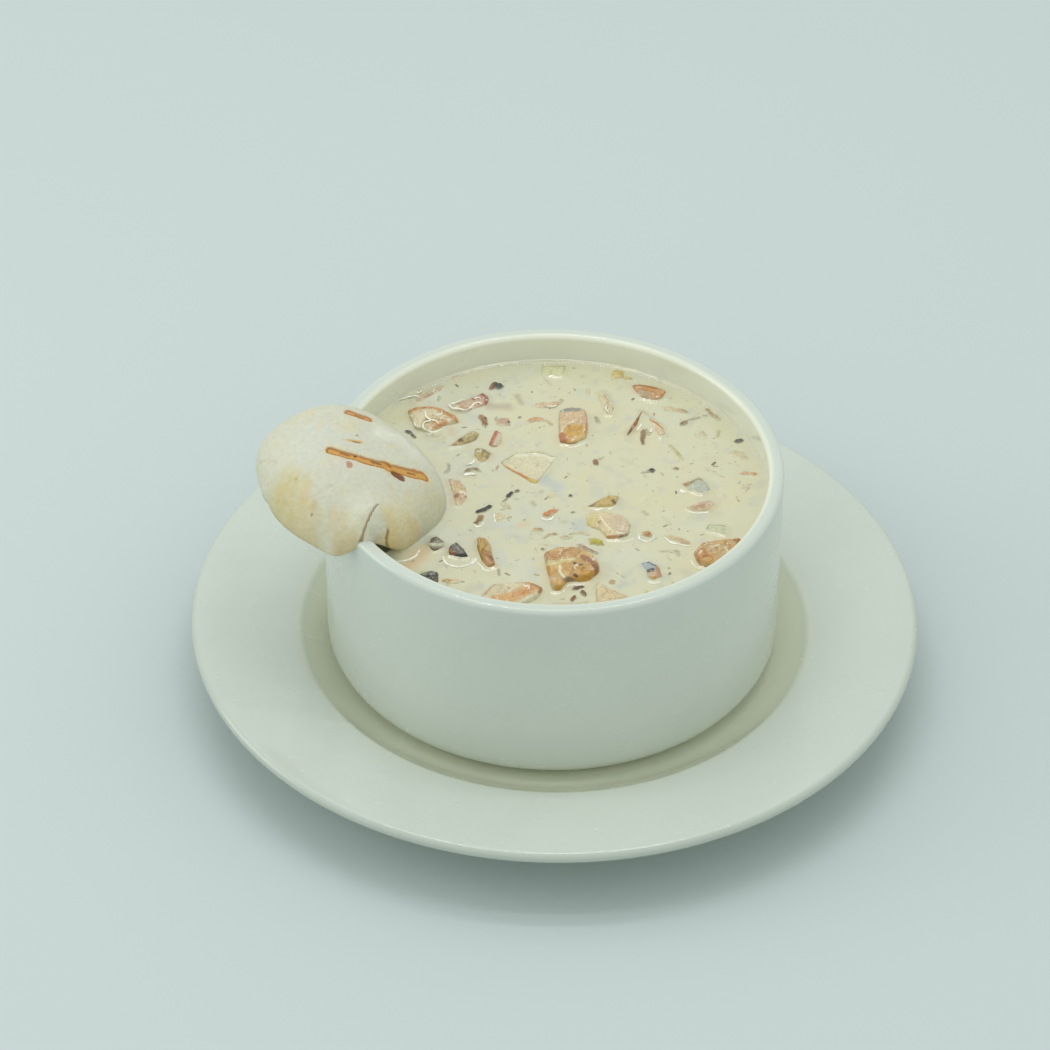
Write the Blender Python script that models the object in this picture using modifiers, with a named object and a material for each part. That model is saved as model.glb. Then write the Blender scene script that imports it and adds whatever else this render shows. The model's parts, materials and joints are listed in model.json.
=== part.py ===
"""Mushroom chowder in a straight-sided white bowl on its saucer, with a grilled mushroom cap on the rim.

Lengths are in metres, +Z is up. The origin is on the saucer's axis, on the surface it stands on.
"""
import math

import bmesh
import bpy
from mathutils import Euler, Matrix, Vector
from mathutils.geometry import interpolate_bezier

MM = 0.001
GAP = 0.3 * MM              # kept between neighbouring pieces
MERGE = 0.01 * MM
TURN_STEPS = 64             # facets round the bowl and the saucer

# Saucer
SAUCER_RADIUS = 96.6 * MM
SAUCER_EDGE_HEIGHT = 17.8 * MM      # centre of the rounded edge
SAUCER_EDGE_BEAD = 1.6 * MM         # radius of the rounded edge
WELL_RADIUS = 67.4 * MM             # where the flat rim turns down into the well
WELL_EDGE_HEIGHT = 14.4 * MM
WELL_FLOOR_RADIUS = 55.0 * MM
WELL_FLOOR_HEIGHT = 9.0 * MM
WELL_CURVE = 1.9                    # how hollow the well's wall is, as a power
WELL_BROW = ((0.6 * MM, 0.2 * MM), (2.5 * MM, 0.7 * MM))    # run and rise beyond the well's edge
SAUCER_THICKNESS = 4.2 * MM
FOOT_OUTER = 58.0 * MM
FOOT_INNER = 54.0 * MM
FOOT_HEIGHT = 3.0 * MM
FOOT_FLARE = 3.0 * MM               # run of the slope above the foot ring
FOOT_TAPER = 1.5 * MM

# Bowl, which stands a little off the saucer's centre
BOWL_CENTRE = Vector((-0.7 * MM, 2.0 * MM, 0.0))
BOWL_RADIUS = 60.0 * MM
BOWL_WALL = 4.1 * MM
BOWL_TOP = 66.5 * MM
BOWL_LIP = 1.5 * MM                 # rounding of the rim
BOWL_CORNER = 6.2 * MM              # rounding under the wall
BOWL_UNDERSIDE = 10.0 * MM
BOWL_FLOOR = 15.0 * MM
BOWL_FOOT_OUTER = 52.0 * MM
BOWL_FOOT_INNER = 48.5 * MM
BOWL_FOOT_TAPER = 0.5 * MM
INNER_CORNER = 9.0 * MM

# Chowder
SOUP_LEVEL = 58.1 * MM
SOUP_CLIMB = 0.5 * MM               # where it clings to the wall
SOUP_CLIMB_RUN = 1.5 * MM
CHUNK_DEPTH = 5.0 * MM              # how far a floating piece reaches down
CHUNK_POINTS = 12                   # points round a piece
CHUNK_GAP = 1.3 * GAP               # grown at the corners, so that the gap is kept on the facets
CHUNK_BEVEL = 0.9 * MM
CHUNK_BEVEL_SHARE = 0.6             # at most this part of the piece's rise
SHARP_EDGE = math.radians(60)
CUTTER_TOP = 10.0 * MM              # how far the cutters reach above the soup

# Grilled mushroom cap on the rim
CAP_CENTRE = Vector((-53.7 * MM, -6.0 * MM, 64.4 * MM))
CAP_TILT = 0.35                     # radians, its right side down in the chowder
CAP_RADIUS = 25.4 * MM
CAP_HEIGHT = 14.4 * MM
CAP_LIP = 3.5 * MM                  # how far the margin curls down
CAP_LIP_INSET = 0.07
CAP_HOLLOW = 6.0 * MM               # depth of the gills' hollow from the margin's lower edge
CAP_FULLNESS = 0.9                  # power of the dome's spread; less is fuller at the shoulder
CAP_HOLLOW_POWER = 4                # how flat the hollow's roof is
CAP_GAP = 1.2 * GAP
CAP_LOBES = ((2, 0.000, 0.012), (3, 0.018, 0.013), (4, 0.000, 0.005), (6, 0.012, -0.009))
CAP_SIDES = 40
CAP_RINGS = 22
LIP_ANGLE = math.radians(125)       # colatitude where the lip ends and the hollow begins
LIP_UNROLLED = 0.6                  # part of the lip that is gone where a fold is highest
RIM_ROOM_DEPTH = 12.0 * MM          # how far the slot for the rim reaches below the soup's level

# Soft bends of the cap: place, height, reach away from the bowl's axis, reach along the rim.
# Its margin is bent up where it crosses the rim; elsewhere it droops or swells a little.
RIM_FOLDS = (
    (Vector((-46.7 * MM, -28.4 * MM)), 4.7 * MM, 6.7 * MM, 4.3 * MM),
    (Vector((-53.5 * MM, 25.2 * MM)), 3.0 * MM, 5.0 * MM, 8.0 * MM),
)
SWELLS = (
    (Vector((-56.1 * MM, -35.1 * MM)), -2.9 * MM, 5.9 * MM, 5.7 * MM),
    (Vector((-50.9 * MM, 14.2 * MM)), 1.2 * MM, 7.8 * MM, 10.2 * MM),
    (Vector((-35.6 * MM, 8.1 * MM)), -1.2 * MM, 8.3 * MM, 8.4 * MM),
)

# Materials: base colour and roughness
GLAZE = ("white_glaze", (0.80, 0.82, 0.77), 0.15)
CREAM = ("cream_soup", (0.80, 0.76, 0.56), 0.30)
CAP_SKIN = ("cap_skin", (0.82, 0.79, 0.66), 0.60)
BROWN = ("browned_mushroom", (0.55, 0.30, 0.12), 0.40)
PALE = ("pale_mushroom", (0.74, 0.58, 0.36), 0.40)
GREY = ("grey_mushroom", (0.40, 0.33, 0.24), 0.40)
DARK = ("dark_gills", (0.12, 0.09, 0.07), 0.40)
LEEK = ("leek", (0.52, 0.55, 0.26), 0.35)

# Floating pieces as large as berries: name, material, rise above the soup in mm,
# lean as rise in x and in y per mm, and the outline at the soup's surface in mm
CHUNKS = (
    ("chunk_front", BROWN, 2.2, (0.05, 0.02),
     ((-3, -25.5), (2, -23.5), (6.5, -24), (10.5, -28), (11.3, -32), (8.5, -36), (3.5, -36.3),
      (1.3, -40), (-0.8, -39.5), (-2.2, -32))),
    ("cube_amber", BROWN, 1.8, (0.0, 0.05),
     ((0.4, 34), (4, 35.3), (7.5, 34.3), (8.3, 28), (7.6, 23), (4, 20.3), (0.6, 21), (0.2, 27))),
    ("slice_front", BROWN, 1.4, (0.03, 0.0),
     ((-16, -38), (-10, -37.5), (-6.5, -37), (-3, -39.5), (-4, -43), (-9, -47), (-15, -47.5), (-19.5, -44))),
    ("chunk_right", BROWN, 1.9, (-0.04, 0.0),
     ((41.5, -19.5), (46, -18.5), (48, -19), (46.5, -24), (43.5, -28.5), (40, -30), (36.7, -28.5),
      (35.5, -24.5), (37.5, -21))),
    ("chunk_pale", PALE, 1.3, (0.0, -0.03),
     ((8, -9), (12, -8), (17, -9.3), (19.5, -13), (19, -17), (16.5, -18.8), (13.3, -18.8), (11.5, -15.5),
      (8, -13.3))),
    ("slice_back_left", PALE, 1.6, (0.02, 0.04),
     ((-40, 33.5), (-36, 35.3), (-31, 34.3), (-27, 31), (-26, 29), (-30, 27.5), (-34, 24.5), (-38, 26.5))),
    ("slice_pink", BROWN, 1.0, (0.03, 0.0),
     ((-29.5, 36), (-24.5, 39.3), (-20.3, 42), (-18.3, 40), (-19, 37), (-24, 34.6))),
    ("slice_back_right", BROWN, 1.2, (0.0, 0.03),
     ((19.8, 46.3), (22, 47), (27, 45.7), (29.2, 44), (28, 41), (25.5, 40), (22, 41.5))),
    ("triangle_pale", PALE, 0.6, (0.0, -0.01),
     ((-15, 12.3), (-12, 8.5), (-6.3, 3.7), (-4.6, 4.6), (-2, 10), (0, 15), (-5, 17.5), (-11, 16.5))),
    ("wedge_left", BROWN, 1.0, (0.0, 0.0),
     ((22.3, 35.5), (20.9, 32.5), (18.2, 25), (19, 24.8), (21.2, 29.3), (22.9, 34.6))),
    ("wedge_right", PALE, 0.9, (0.0, 0.0),
     ((23.6, 33.6), (25, 32.3), (28, 29), (28.8, 25.5), (27.2, 24.2), (25.9, 26.5), (24.9, 29.8))),
    ("crescent", BROWN, 1.3, (0.0, 0.02),
     ((-20.3, -19.8), (-18.2, -19.6), (-16.6, -22), (-16, -26), (-15.2, -30), (-17, -31.3), (-19, -28.5),
      (-20.2, -24))),
    ("wedge_pink", PALE, 0.7, (0.0, 0.0),
     ((-28.6, 5), (-25.6, 4.8), (-23.4, 1), (-23.1, -3), (-24.8, -6), (-26.4, -6), (-27.2, -2))),
    ("piece_front", PALE, 1.3, (0.0, -0.02),
     ((11.6, -36.7), (14.5, -39.3), (19, -42.3), (19.3, -45), (15, -47.5), (11, -46.5), (10.3, -42.5),
      (10.3, -39))),
    ("piece_brown_edge", GREY, 0.8, (0.0, 0.0),
     ((32.6, 4.5), (35, 5.8), (37, 7.4), (38.8, 6.3), (40.4, 2.5), (38, 0.4), (34.5, 1.8))),
    ("piece_tan", PALE, 0.8, (0.0, 0.0),
     ((33.5, -5.5), (37, -3), (40, -2), (41.5, -4), (39.5, -6.5), (36, -6.8))),
    ("gill_wedge", DARK, 1.6, (0.0, 0.0),
     ((-27.4, -23.3), (-25.5, -21.5), (-23.3, -24.5), (-22.3, -27), (-24.5, -27.2), (-27.4, -26.3))),
    ("gill_slice", DARK, 1.1, (0.0, 0.0),
     ((-33.0, -22.5), (-32.1, -19.6), (-30.5, -19.1), (-28.6, -20.9), (-28.8, -23.5), (-31.3, -25))),
    ("gill_front", DARK, 1.3, (0.0, 0.0),
     ((-35, -35), (-32.5, -33.3), (-29.8, -33.6), (-29.6, -37), (-31.5, -39.5), (-34.5, -38.5))),
    ("leek_back", LEEK, 0.6, (0.0, 0.0),
     ((-4.8, 55.4), (2.4, 55.1), (1.4, 50.3), (-4.9, 50.4))),
    ("leek_right", LEEK, 0.5, (0.0, 0.0),
     ((39.2, -11.6), (44.5, -12.2), (44, -16.5), (38.8, -14.3))),
    ("slice_brown_left", GREY, 1.0, (0.0, 0.0),
     ((-28.6, 18.6), (-26.5, 22), (-22.5, 25.8), (-20.5, 24.5), (-21.5, 21.5), (-25, 19.3))),
    ("cube_red", BROWN, 1.0, (0.0, 0.0),
     ((-18.3, 19.7), (-17, 25.3), (-16, 26), (-14.4, 24.5), (-14.7, 20.5), (-16.3, 18.8))),
    ("piece_left", GREY, 0.9, (0.0, 0.0),
     ((-21.6, 18.2), (-19, 17.9), (-17.2, 16), (-18.3, 13), (-20, 11.8), (-21.9, 15))),
    ("piece_centre", PALE, 1.1, (0.02, 0.02),
     ((8, -5.7), (10.5, -3.3), (14, -0.8), (16.4, -1.5), (15.5, -5), (11.5, -6))),
    ("arch_back", PALE, 0.8, (0.0, 0.0),
     ((10.3, 42), (11.8, 43.8), (13.3, 41.5), (15.3, 36.5), (14.5, 33.5), (12.3, 33.8), (11.3, 38))),
    ("piece_blue", GREY, 1.0, (0.0, 0.0),
     ((21.8, -28.5), (24, -27.5), (26.6, -29.5), (27.5, -33.5), (25.5, -35), (23.5, -34), (23.2, -31.5))),
    ("piece_back_left", PALE, 0.8, (0.0, 0.0),
     ((-38.5, 39), (-36, 42), (-33, 44.5), (-30.5, 45.5), (-31.5, 42.5), (-34.5, 40), (-37, 37.6))),
    ("slice_rim", PALE, 0.7, (0.0, 0.0),
     ((-5.5, -46.8), (0, -45.2), (6, -45), (8.7, -44.1), (8.7, -48), (4, -51.3), (-2, -51.3), (-6, -49.5))),
)

# Small bits that lie in the surface: place, length and width in mm, turn in degrees
BITS = (
    (-18.2, -7.6, 5.4, 1.9, 35), (-19.7, -11.6, 4.2, 2.0, 68), (-12.0, -1.0, 3.2, 1.5, 58),
    (-10.3, 0.6, 1.5, 1.3, 0), (-1.6, -8.8, 4.4, 1.9, 42), (25.0, 10.0, 2.6, 2.2, 20),
    (48.3, 23.2, 2.7, 2.0, 0), (-16.4, 45.8, 3.0, 2.6, 0), (3.7, -1.2, 1.5, 1.4, 0),
    (10.8, -20.2, 5.2, 3.2, -22), (23.5, -16.2, 2.5, 2.2, 0), (31.5, -18.6, 7.4, 1.7, -32),
    (29.3, -23.6, 5.6, 1.4, 2), (-14.7, 30.4, 5.2, 3.2, -25), (-19.8, 30.2, 5.8, 1.9, 82),
    (-4.6, 30.2, 6.4, 2.4, -18), (-2.2, 38.3, 8.4, 2.2, 10), (10.4, 13.3, 2.6, 2.2, 60),
    (50.6, 9.3, 4.6, 1.3, -4), (5.8, -39.3, 3.4, 1.7, 15), (4.7, -42.2, 2.6, 1.3, 80),
    (17.0, 52.0, 5.2, 3.2, 60), (33.8, 31.4, 3.0, 1.7, 40), (42.0, 33.6, 5.8, 1.5, -52),
    (32.6, 36.0, 4.4, 1.7, -10), (-25.8, -37.0, 6.0, 2.0, -6), (8.4, 43.3, 2.8, 1.5, 80),
)
BIT_RISE = 0.7 * MM
BIT_SINK = 1.4 * MM


def clear_scene():
    for obj in list(bpy.data.objects):
        bpy.data.objects.remove(obj)


def new_collection(name):
    collection = bpy.data.collections.new(name)
    bpy.context.scene.collection.children.link(collection)
    return collection


def material(spec):
    name, colour, roughness = spec
    found = bpy.data.materials.get(name)
    if found:
        return found
    made = bpy.data.materials.new(name)
    made.use_nodes = True
    shader = made.node_tree.nodes["Principled BSDF"]
    shader.inputs["Base Color"].default_value = (*colour, 1.0)
    shader.inputs["Roughness"].default_value = roughness
    shader.inputs["Metallic"].default_value = 0.0
    return made


def add_object(name, mesh, collection, spec):
    obj = bpy.data.objects.new(name, mesh)
    collection.objects.link(obj)
    mesh.materials.append(material(spec))
    return obj


def as_cutter(obj):
    obj.hide_render = True
    obj.display_type = "WIRE"
    return obj


def arc(radius_at, height_at, size, start, end, count):
    """Points of a round corner in a turned profile, angles in degrees from the outward direction."""
    angles = [math.radians(start + (end - start) * i / count) for i in range(count + 1)]
    return [(radius_at + size * math.cos(a), height_at + size * math.sin(a)) for a in angles]


def turned(name, profile, collection, spec, centre=Vector()):
    """A body turned about Z from a profile that runs from the top of the axis down to its foot."""
    mesh = bpy.data.meshes.new(name)
    points = [(radius, 0.0, height) for radius, height in profile]
    mesh.from_pydata(points, [(i, i + 1) for i in range(len(points) - 1)], [])
    obj = add_object(name, mesh, collection, spec)
    obj.location = centre
    screw = obj.modifiers.new("turn", "SCREW")
    screw.axis = "Z"
    screw.steps = TURN_STEPS
    screw.render_steps = TURN_STEPS
    screw.use_merge_vertices = True
    screw.merge_threshold = MERGE
    screw.use_smooth_shade = True
    return obj


def saucer_profile():
    """Well floor, hollow wall, gently rising rim, rounded edge, then the underside with its foot ring."""
    floor = [(0.0, WELL_FLOOR_HEIGHT), (WELL_FLOOR_RADIUS, WELL_FLOOR_HEIGHT)]
    wall_run = WELL_RADIUS - WELL_FLOOR_RADIUS
    wall_rise = WELL_EDGE_HEIGHT - WELL_FLOOR_HEIGHT
    wall = [(WELL_FLOOR_RADIUS + wall_run * t, WELL_FLOOR_HEIGHT + wall_rise * t ** WELL_CURVE)
            for t in (0.25, 0.5, 0.75, 0.93)]
    brow = [(WELL_RADIUS + run, WELL_EDGE_HEIGHT + rise) for run, rise in WELL_BROW]
    edge = arc(SAUCER_RADIUS - SAUCER_EDGE_BEAD, SAUCER_EDGE_HEIGHT, SAUCER_EDGE_BEAD, 90, -90, 4)
    under = [
        (WELL_RADIUS, WELL_EDGE_HEIGHT - SAUCER_THICKNESS),
        (FOOT_OUTER + FOOT_FLARE, FOOT_HEIGHT + FOOT_TAPER),
        (FOOT_OUTER, 0.0),
        (FOOT_INNER, 0.0),
        (FOOT_INNER - FOOT_TAPER, FOOT_HEIGHT),
        (0.0, WELL_FLOOR_HEIGHT - SAUCER_THICKNESS),
    ]
    return floor + wall + brow + edge + under


def bowl_profile():
    """Inside floor and wall, rounded rim, straight outer wall, rounded corner and a low foot ring."""
    inner_radius = BOWL_RADIUS - BOWL_WALL
    inside = [(0.0, BOWL_FLOOR)]
    inside += arc(inner_radius - INNER_CORNER, BOWL_FLOOR + INNER_CORNER, INNER_CORNER, -90, 0, 4)
    rim = arc(inner_radius + BOWL_LIP, BOWL_TOP - BOWL_LIP, BOWL_LIP, 180, 90, 4)
    rim += arc(BOWL_RADIUS - BOWL_LIP, BOWL_TOP - BOWL_LIP, BOWL_LIP, 90, 0, 4)
    corner = arc(BOWL_RADIUS - BOWL_CORNER, BOWL_UNDERSIDE + BOWL_CORNER, BOWL_CORNER, 0, -90, 5)
    foot_height = WELL_FLOOR_HEIGHT + GAP
    foot = [
        (BOWL_FOOT_OUTER, BOWL_UNDERSIDE),
        (BOWL_FOOT_OUTER - BOWL_FOOT_TAPER, foot_height),
        (BOWL_FOOT_INNER, foot_height),
        (BOWL_FOOT_INNER - BOWL_FOOT_TAPER, BOWL_UNDERSIDE),
        (0.0, BOWL_UNDERSIDE),
    ]
    return inside + rim + corner + foot


def soup_profile():
    """A filling that follows the bowl's inside at a small gap and climbs a little at the wall."""
    radius = BOWL_RADIUS - BOWL_WALL - GAP
    bottom = BOWL_FLOOR + GAP
    top = [(0.0, SOUP_LEVEL), (radius - SOUP_CLIMB_RUN, SOUP_LEVEL), (radius, SOUP_LEVEL + SOUP_CLIMB)]
    corner = arc(radius - INNER_CORNER, bottom + INNER_CORNER, INNER_CORNER, 0, -90, 4)
    return top + corner + [(0.0, bottom)]


def smooth_outline(points, count):
    """A closed curve through the points, read at equal steps of its parameter."""
    corners = [Vector((x * MM, y * MM)) for x, y in points]
    total = len(corners)
    dense = []
    for i, here in enumerate(corners):
        before = corners[i - 1]
        following = corners[(i + 1) % total]
        after = corners[(i + 2) % total]
        handle_out = here + (following - before) / 6
        handle_in = following - (after - here) / 6
        dense += interpolate_bezier(here, handle_out, handle_in, following, count + 1)[:-1]
    return dense[::total]


def grown(outline, amount):
    """The outline moved outwards by the amount along its own normals."""
    total = len(outline)
    area = sum(outline[i - 1].cross(outline[i]) for i in range(total))
    side = 1.0 if area > 0 else -1.0
    moved = []
    for i, here in enumerate(outline):
        along = (outline[(i + 1) % total] - outline[i - 1]).normalized()
        moved.append(here + Vector((along.y, -along.x)) * amount * side)
    return moved


def prism(outline, bottom, top):
    """A closed upright prism; top is a function of the place, so that the top face can lean."""
    bm = bmesh.new()
    ring = [bm.verts.new((p.x, p.y, bottom)) for p in outline]
    base = bm.faces.new(ring)
    lifted = bmesh.ops.extrude_face_region(bm, geom=[base])
    for vert in (item for item in lifted["geom"] if isinstance(item, bmesh.types.BMVert)):
        vert.co.z = top(vert.co.x, vert.co.y)
    bmesh.ops.recalc_face_normals(bm, faces=bm.faces)
    mesh = bpy.data.meshes.new("prism")
    bm.to_mesh(mesh)
    bm.free()
    return mesh


def chunk(name, spec, rise, lean, points, pieces, cutters):
    """A floating piece with bevelled edges, and the cutter that makes room for it in the soup."""
    outline = smooth_outline(points, CHUNK_POINTS)
    middle = sum(outline, Vector((0.0, 0.0))) / len(outline)

    def top(x, y):
        return SOUP_LEVEL + rise * MM + lean[0] * (x - middle.x) + lean[1] * (y - middle.y)

    bottom = SOUP_LEVEL - CHUNK_DEPTH
    obj = add_object(name, prism(outline, bottom, top), pieces, spec)
    bevel = obj.modifiers.new("soft edges", "BEVEL")
    bevel.width = min(CHUNK_BEVEL, CHUNK_BEVEL_SHARE * rise * MM)
    bevel.segments = 1
    bevel.limit_method = "ANGLE"
    bevel.angle_limit = SHARP_EDGE
    room = prism(grown(outline, CHUNK_GAP), bottom - GAP, lambda x, y: SOUP_LEVEL + CUTTER_TOP)
    as_cutter(add_object(name + "_room", room, cutters, spec))
    return obj


def lobes(angle):
    """How far the cap's margin departs from a circle."""
    return sum(c * math.cos(n * angle) + s * math.sin(n * angle) for n, c, s in CAP_LOBES)


def bend_weight(place, centre, across, along):
    """How near a place in plan is to the middle of a bend, from 0 to 1."""
    outward = (centre - BOWL_CENTRE.xy).normalized()
    offset = place - centre
    radial = offset.dot(outward) / across
    tangential = offset.cross(outward) / along
    return math.exp(-radial ** 2 - tangential ** 2)


def bend_lift(place):
    """How far the bends raise or lower a place of the cap."""
    return sum(height * bend_weight(place, centre, across, along)
               for centre, height, across, along in RIM_FOLDS + SWELLS)


def rim_nearness(place):
    """1 in the middle of a fold over the rim, 0 away from it."""
    return max(bend_weight(place, centre, across, along) for centre, height, across, along in RIM_FOLDS)


def cap_point(direction, grow, hollow):
    """Where a point of the unit sphere lies on the cap: dome above, curled lip, hollow beneath."""
    colatitude = math.acos(max(-1.0, min(1.0, direction.z)))
    angle = math.atan2(direction.y, direction.x)
    reach = CAP_RADIUS * (1 + lobes(angle)) + grow
    rim_place = CAP_CENTRE.xy + Vector((math.cos(angle), math.sin(angle))) * CAP_RADIUS
    lip = (CAP_LIP + grow) * (1 - LIP_UNROLLED * rim_nearness(rim_place))
    if colatitude <= math.pi / 2:
        spread = math.sin(colatitude) ** CAP_FULLNESS
        height = (CAP_HEIGHT + grow) * math.cos(colatitude)
    elif colatitude <= LIP_ANGLE:
        turn = (colatitude - math.pi / 2) / (LIP_ANGLE - math.pi / 2) * math.pi / 2
        spread = 1 - CAP_LIP_INSET * (1 - math.cos(turn))
        height = -lip * math.sin(turn)
    else:
        part = (math.pi - colatitude) / (math.pi - LIP_ANGLE)
        spread = (1 - CAP_LIP_INSET) * part
        height = -lip + hollow * (1 - part ** CAP_HOLLOW_POWER)
    place = Vector((reach * spread * math.cos(angle), reach * spread * math.sin(angle), height))
    return CAP_CENTRE + Euler((0.0, CAP_TILT, 0.0)).to_matrix() @ place


def mushroom_cap(name, collection, grow=0.0, hollow=CAP_HOLLOW):
    """A soft cap bent over the bowl's rim, from a sphere whose points are moved."""
    bm = bmesh.new()
    bmesh.ops.create_uvsphere(bm, u_segments=CAP_SIDES, v_segments=CAP_RINGS, radius=1.0)
    for vert in bm.verts:
        placed = cap_point(vert.co.normalized(), grow, hollow)
        placed.z += bend_lift(placed.xy)
        vert.co = placed
    mesh = bpy.data.meshes.new(name)
    bm.to_mesh(mesh)
    bm.free()
    mesh.shade_smooth()
    return add_object(name, mesh, collection, CAP_SKIN)


def rim_room(collection):
    """The bowl's rim with a gap round it, which the soft cap is pressed onto."""
    outer = BOWL_RADIUS + GAP
    inner = BOWL_RADIUS - BOWL_WALL - GAP
    top = BOWL_TOP + GAP
    low = SOUP_LEVEL - RIM_ROOM_DEPTH
    profile = [(inner, top), (outer, top), (outer, low), (inner, low), (inner, top)]
    return as_cutter(turned("rim_room", profile, collection, GLAZE, BOWL_CENTRE))


def add_boolean(obj, operation, collection=None, cutter=None):
    boolean = obj.modifiers.new(operation.lower(), "BOOLEAN")
    boolean.operation = operation
    boolean.solver = "EXACT"
    if collection:
        boolean.operand_type = "COLLECTION"
        boolean.collection = collection
    else:
        boolean.object = cutter
    return boolean


def bit(index, x, y, length, width, turn, collection):
    """A small flattened scrap, half sunk in the surface."""
    bm = bmesh.new()
    bmesh.ops.create_icosphere(bm, subdivisions=1, radius=1.0)
    size = Matrix.Diagonal((length * MM / 2, width * MM / 2, (BIT_RISE + BIT_SINK) / 2, 1.0))
    place = Matrix.Translation((x * MM, y * MM, SOUP_LEVEL + (BIT_RISE - BIT_SINK) / 2))
    bm.transform(place @ Matrix.Rotation(math.radians(turn), 4, "Z") @ size)
    mesh = bpy.data.meshes.new(f"bit_{index}")
    bm.to_mesh(mesh)
    bm.free()
    return add_object(f"bit_{index}", mesh, collection, PALE)


def apply_modifiers(obj):
    evaluated = obj.evaluated_get(bpy.context.evaluated_depsgraph_get())
    mesh = bpy.data.meshes.new_from_object(evaluated)
    obj.modifiers.clear()
    obj.data = mesh


def soup(collection, cutters):
    """The chowder with its small bits fused on, cut round every floating piece and the cap."""
    obj = turned("soup", soup_profile(), collection, CREAM, BOWL_CENTRE)
    bits = new_collection("soup_bits")
    for index, values in enumerate(BITS):
        bit(index, *values, bits)
    add_boolean(obj, "UNION", collection=bits)
    apply_modifiers(obj)
    for scrap in list(bits.objects):
        bpy.data.objects.remove(scrap)
    bpy.data.collections.remove(bits)
    add_boolean(obj, "DIFFERENCE", collection=cutters)
    return obj


def main():
    clear_scene()
    pieces = new_collection("mushroom_chowder")
    cutters = new_collection("chowder_cutters")
    rim_cutters = new_collection("rim_cutters")
    turned("saucer", saucer_profile(), pieces, GLAZE)
    turned("bowl", bowl_profile(), pieces, GLAZE, BOWL_CENTRE)
    for name, spec, rise, lean, points in CHUNKS:
        chunk(name, spec, rise, lean, points, pieces, cutters)
    cap = mushroom_cap("mushroom_cap", pieces)
    add_boolean(cap, "DIFFERENCE", cutter=rim_room(rim_cutters))
    as_cutter(mushroom_cap("cap_room", cutters, grow=CAP_GAP, hollow=0.0))
    soup(pieces, cutters)


main()
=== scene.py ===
"""The looks of a mushroom chowder in a white bowl on its saucer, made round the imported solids.

Distances in the tables are in millimetres; meshes are in metres. Colours are written as a screen shows them.
"""
import json
import math

import bpy
import numpy as np
from mathutils import Matrix, Vector


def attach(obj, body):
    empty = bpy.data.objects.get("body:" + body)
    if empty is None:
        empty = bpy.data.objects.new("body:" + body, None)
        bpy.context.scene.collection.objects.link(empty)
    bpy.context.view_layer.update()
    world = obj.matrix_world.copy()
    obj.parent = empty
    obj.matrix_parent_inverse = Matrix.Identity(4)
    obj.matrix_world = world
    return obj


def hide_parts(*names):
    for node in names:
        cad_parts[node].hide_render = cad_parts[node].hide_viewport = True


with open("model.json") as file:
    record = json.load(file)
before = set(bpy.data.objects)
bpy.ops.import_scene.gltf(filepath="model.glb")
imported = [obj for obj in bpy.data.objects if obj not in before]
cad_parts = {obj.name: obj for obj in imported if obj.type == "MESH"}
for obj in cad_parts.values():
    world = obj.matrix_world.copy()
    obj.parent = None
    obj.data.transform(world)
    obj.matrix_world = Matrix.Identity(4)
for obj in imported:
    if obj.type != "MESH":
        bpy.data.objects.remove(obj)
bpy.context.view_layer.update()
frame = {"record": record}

MM = 0.001

# Camera, from the photograph's ellipses
CAMERA_PLACE = (0.0, -920.17, 795.04)
CAMERA_PITCH = 0.6822
CAMERA_YAW = -0.0088
CAMERA_ROLL = -0.0105
CAMERA_FOCUS = 4511.88          # focal length in pixels of a frame 1050 wide
FRAME_WIDTH = 1050
SENSOR = 36.0

# Saucer
SAUCER_RADIUS = 96.6
SAUCER_EDGE_HEIGHT = 17.8
SAUCER_EDGE_BEAD = 1.6
WELL_RADIUS = 67.4
WELL_EDGE_HEIGHT = 14.4
WELL_FLOOR_RADIUS = 55.0
WELL_FLOOR_HEIGHT = 9.0
WELL_CURVE = 1.9
SAUCER_THICKNESS = 4.2
FOOT_OUTER = 58.0
FOOT_INNER = 54.0
FOOT_HEIGHT = 3.0
FOOT_FLARE = 3.0
FOOT_TAPER = 1.5

# Bowl
BOWL_X = -0.7
BOWL_Y = 2.0
BOWL_RADIUS = 60.0
BOWL_WALL = 4.1
BOWL_TOP = 66.5
BOWL_LIP = 1.5
BOWL_CORNER = 6.2
BOWL_UNDERSIDE = 10.0
BOWL_FLOOR = 15.0
BOWL_FOOT_OUTER = 52.0
BOWL_FOOT_INNER = 48.5
BOWL_FOOT_TAPER = 0.5
INNER_CORNER = 9.0
TURN_STEPS = 224
HUB = 1.0                       # radius of a profile's first and last ring, which flat faces close
WOBBLE = 0.0006                 # how far the dishes are out of true, as a part of their radius
GAP = 0.3

# Chowder
SOUP_LEVEL = 58.1
SOUP_RADIUS = BOWL_RADIUS - BOWL_WALL + 0.1     # just into the wall, so that no dark gap shows
SOUP_CELLS = 296                # cells across the surface
CHUNK_STEP = 0.24               # spacing of a floating piece's points
CUT_PULL = 0.22                 # how round the corners of a cut piece are, 0.5 being quite round
CHUNK_SINK = 4.6                # how far it reaches below the surface
SINK_PARTS = (0.15, 0.3, 0.5, 0.75, 1.0)        # rings of its sinking wall, as parts of that
EDGE_ROUND = 0.9                # width of its rounded edge
EDGE_DROP = 0.3                 # how far that edge ends below the surface
GLINT_RISE = 0.65               # pieces that rise less than this get no painted glints
DARK_TONE = 100                 # pieces darker than this have less cream on them
OUTLINE_STEPS = 64              # points of a piece's outline where the soup meets it
MARK_SLANT = 1.25               # marks on raised places are tabled this much further back per mm of height
SHARP_ANGLE = math.radians(62)  # edges of the soup steeper than this are shaded sharp
CRUMBS = 260
CRUMB_TONES = ((186, 174, 138), (176, 160, 122), (190, 188, 158), (168, 146, 108), (150, 140, 112),
               (196, 186, 140), (178, 184, 160), (120, 104, 80))
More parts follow.
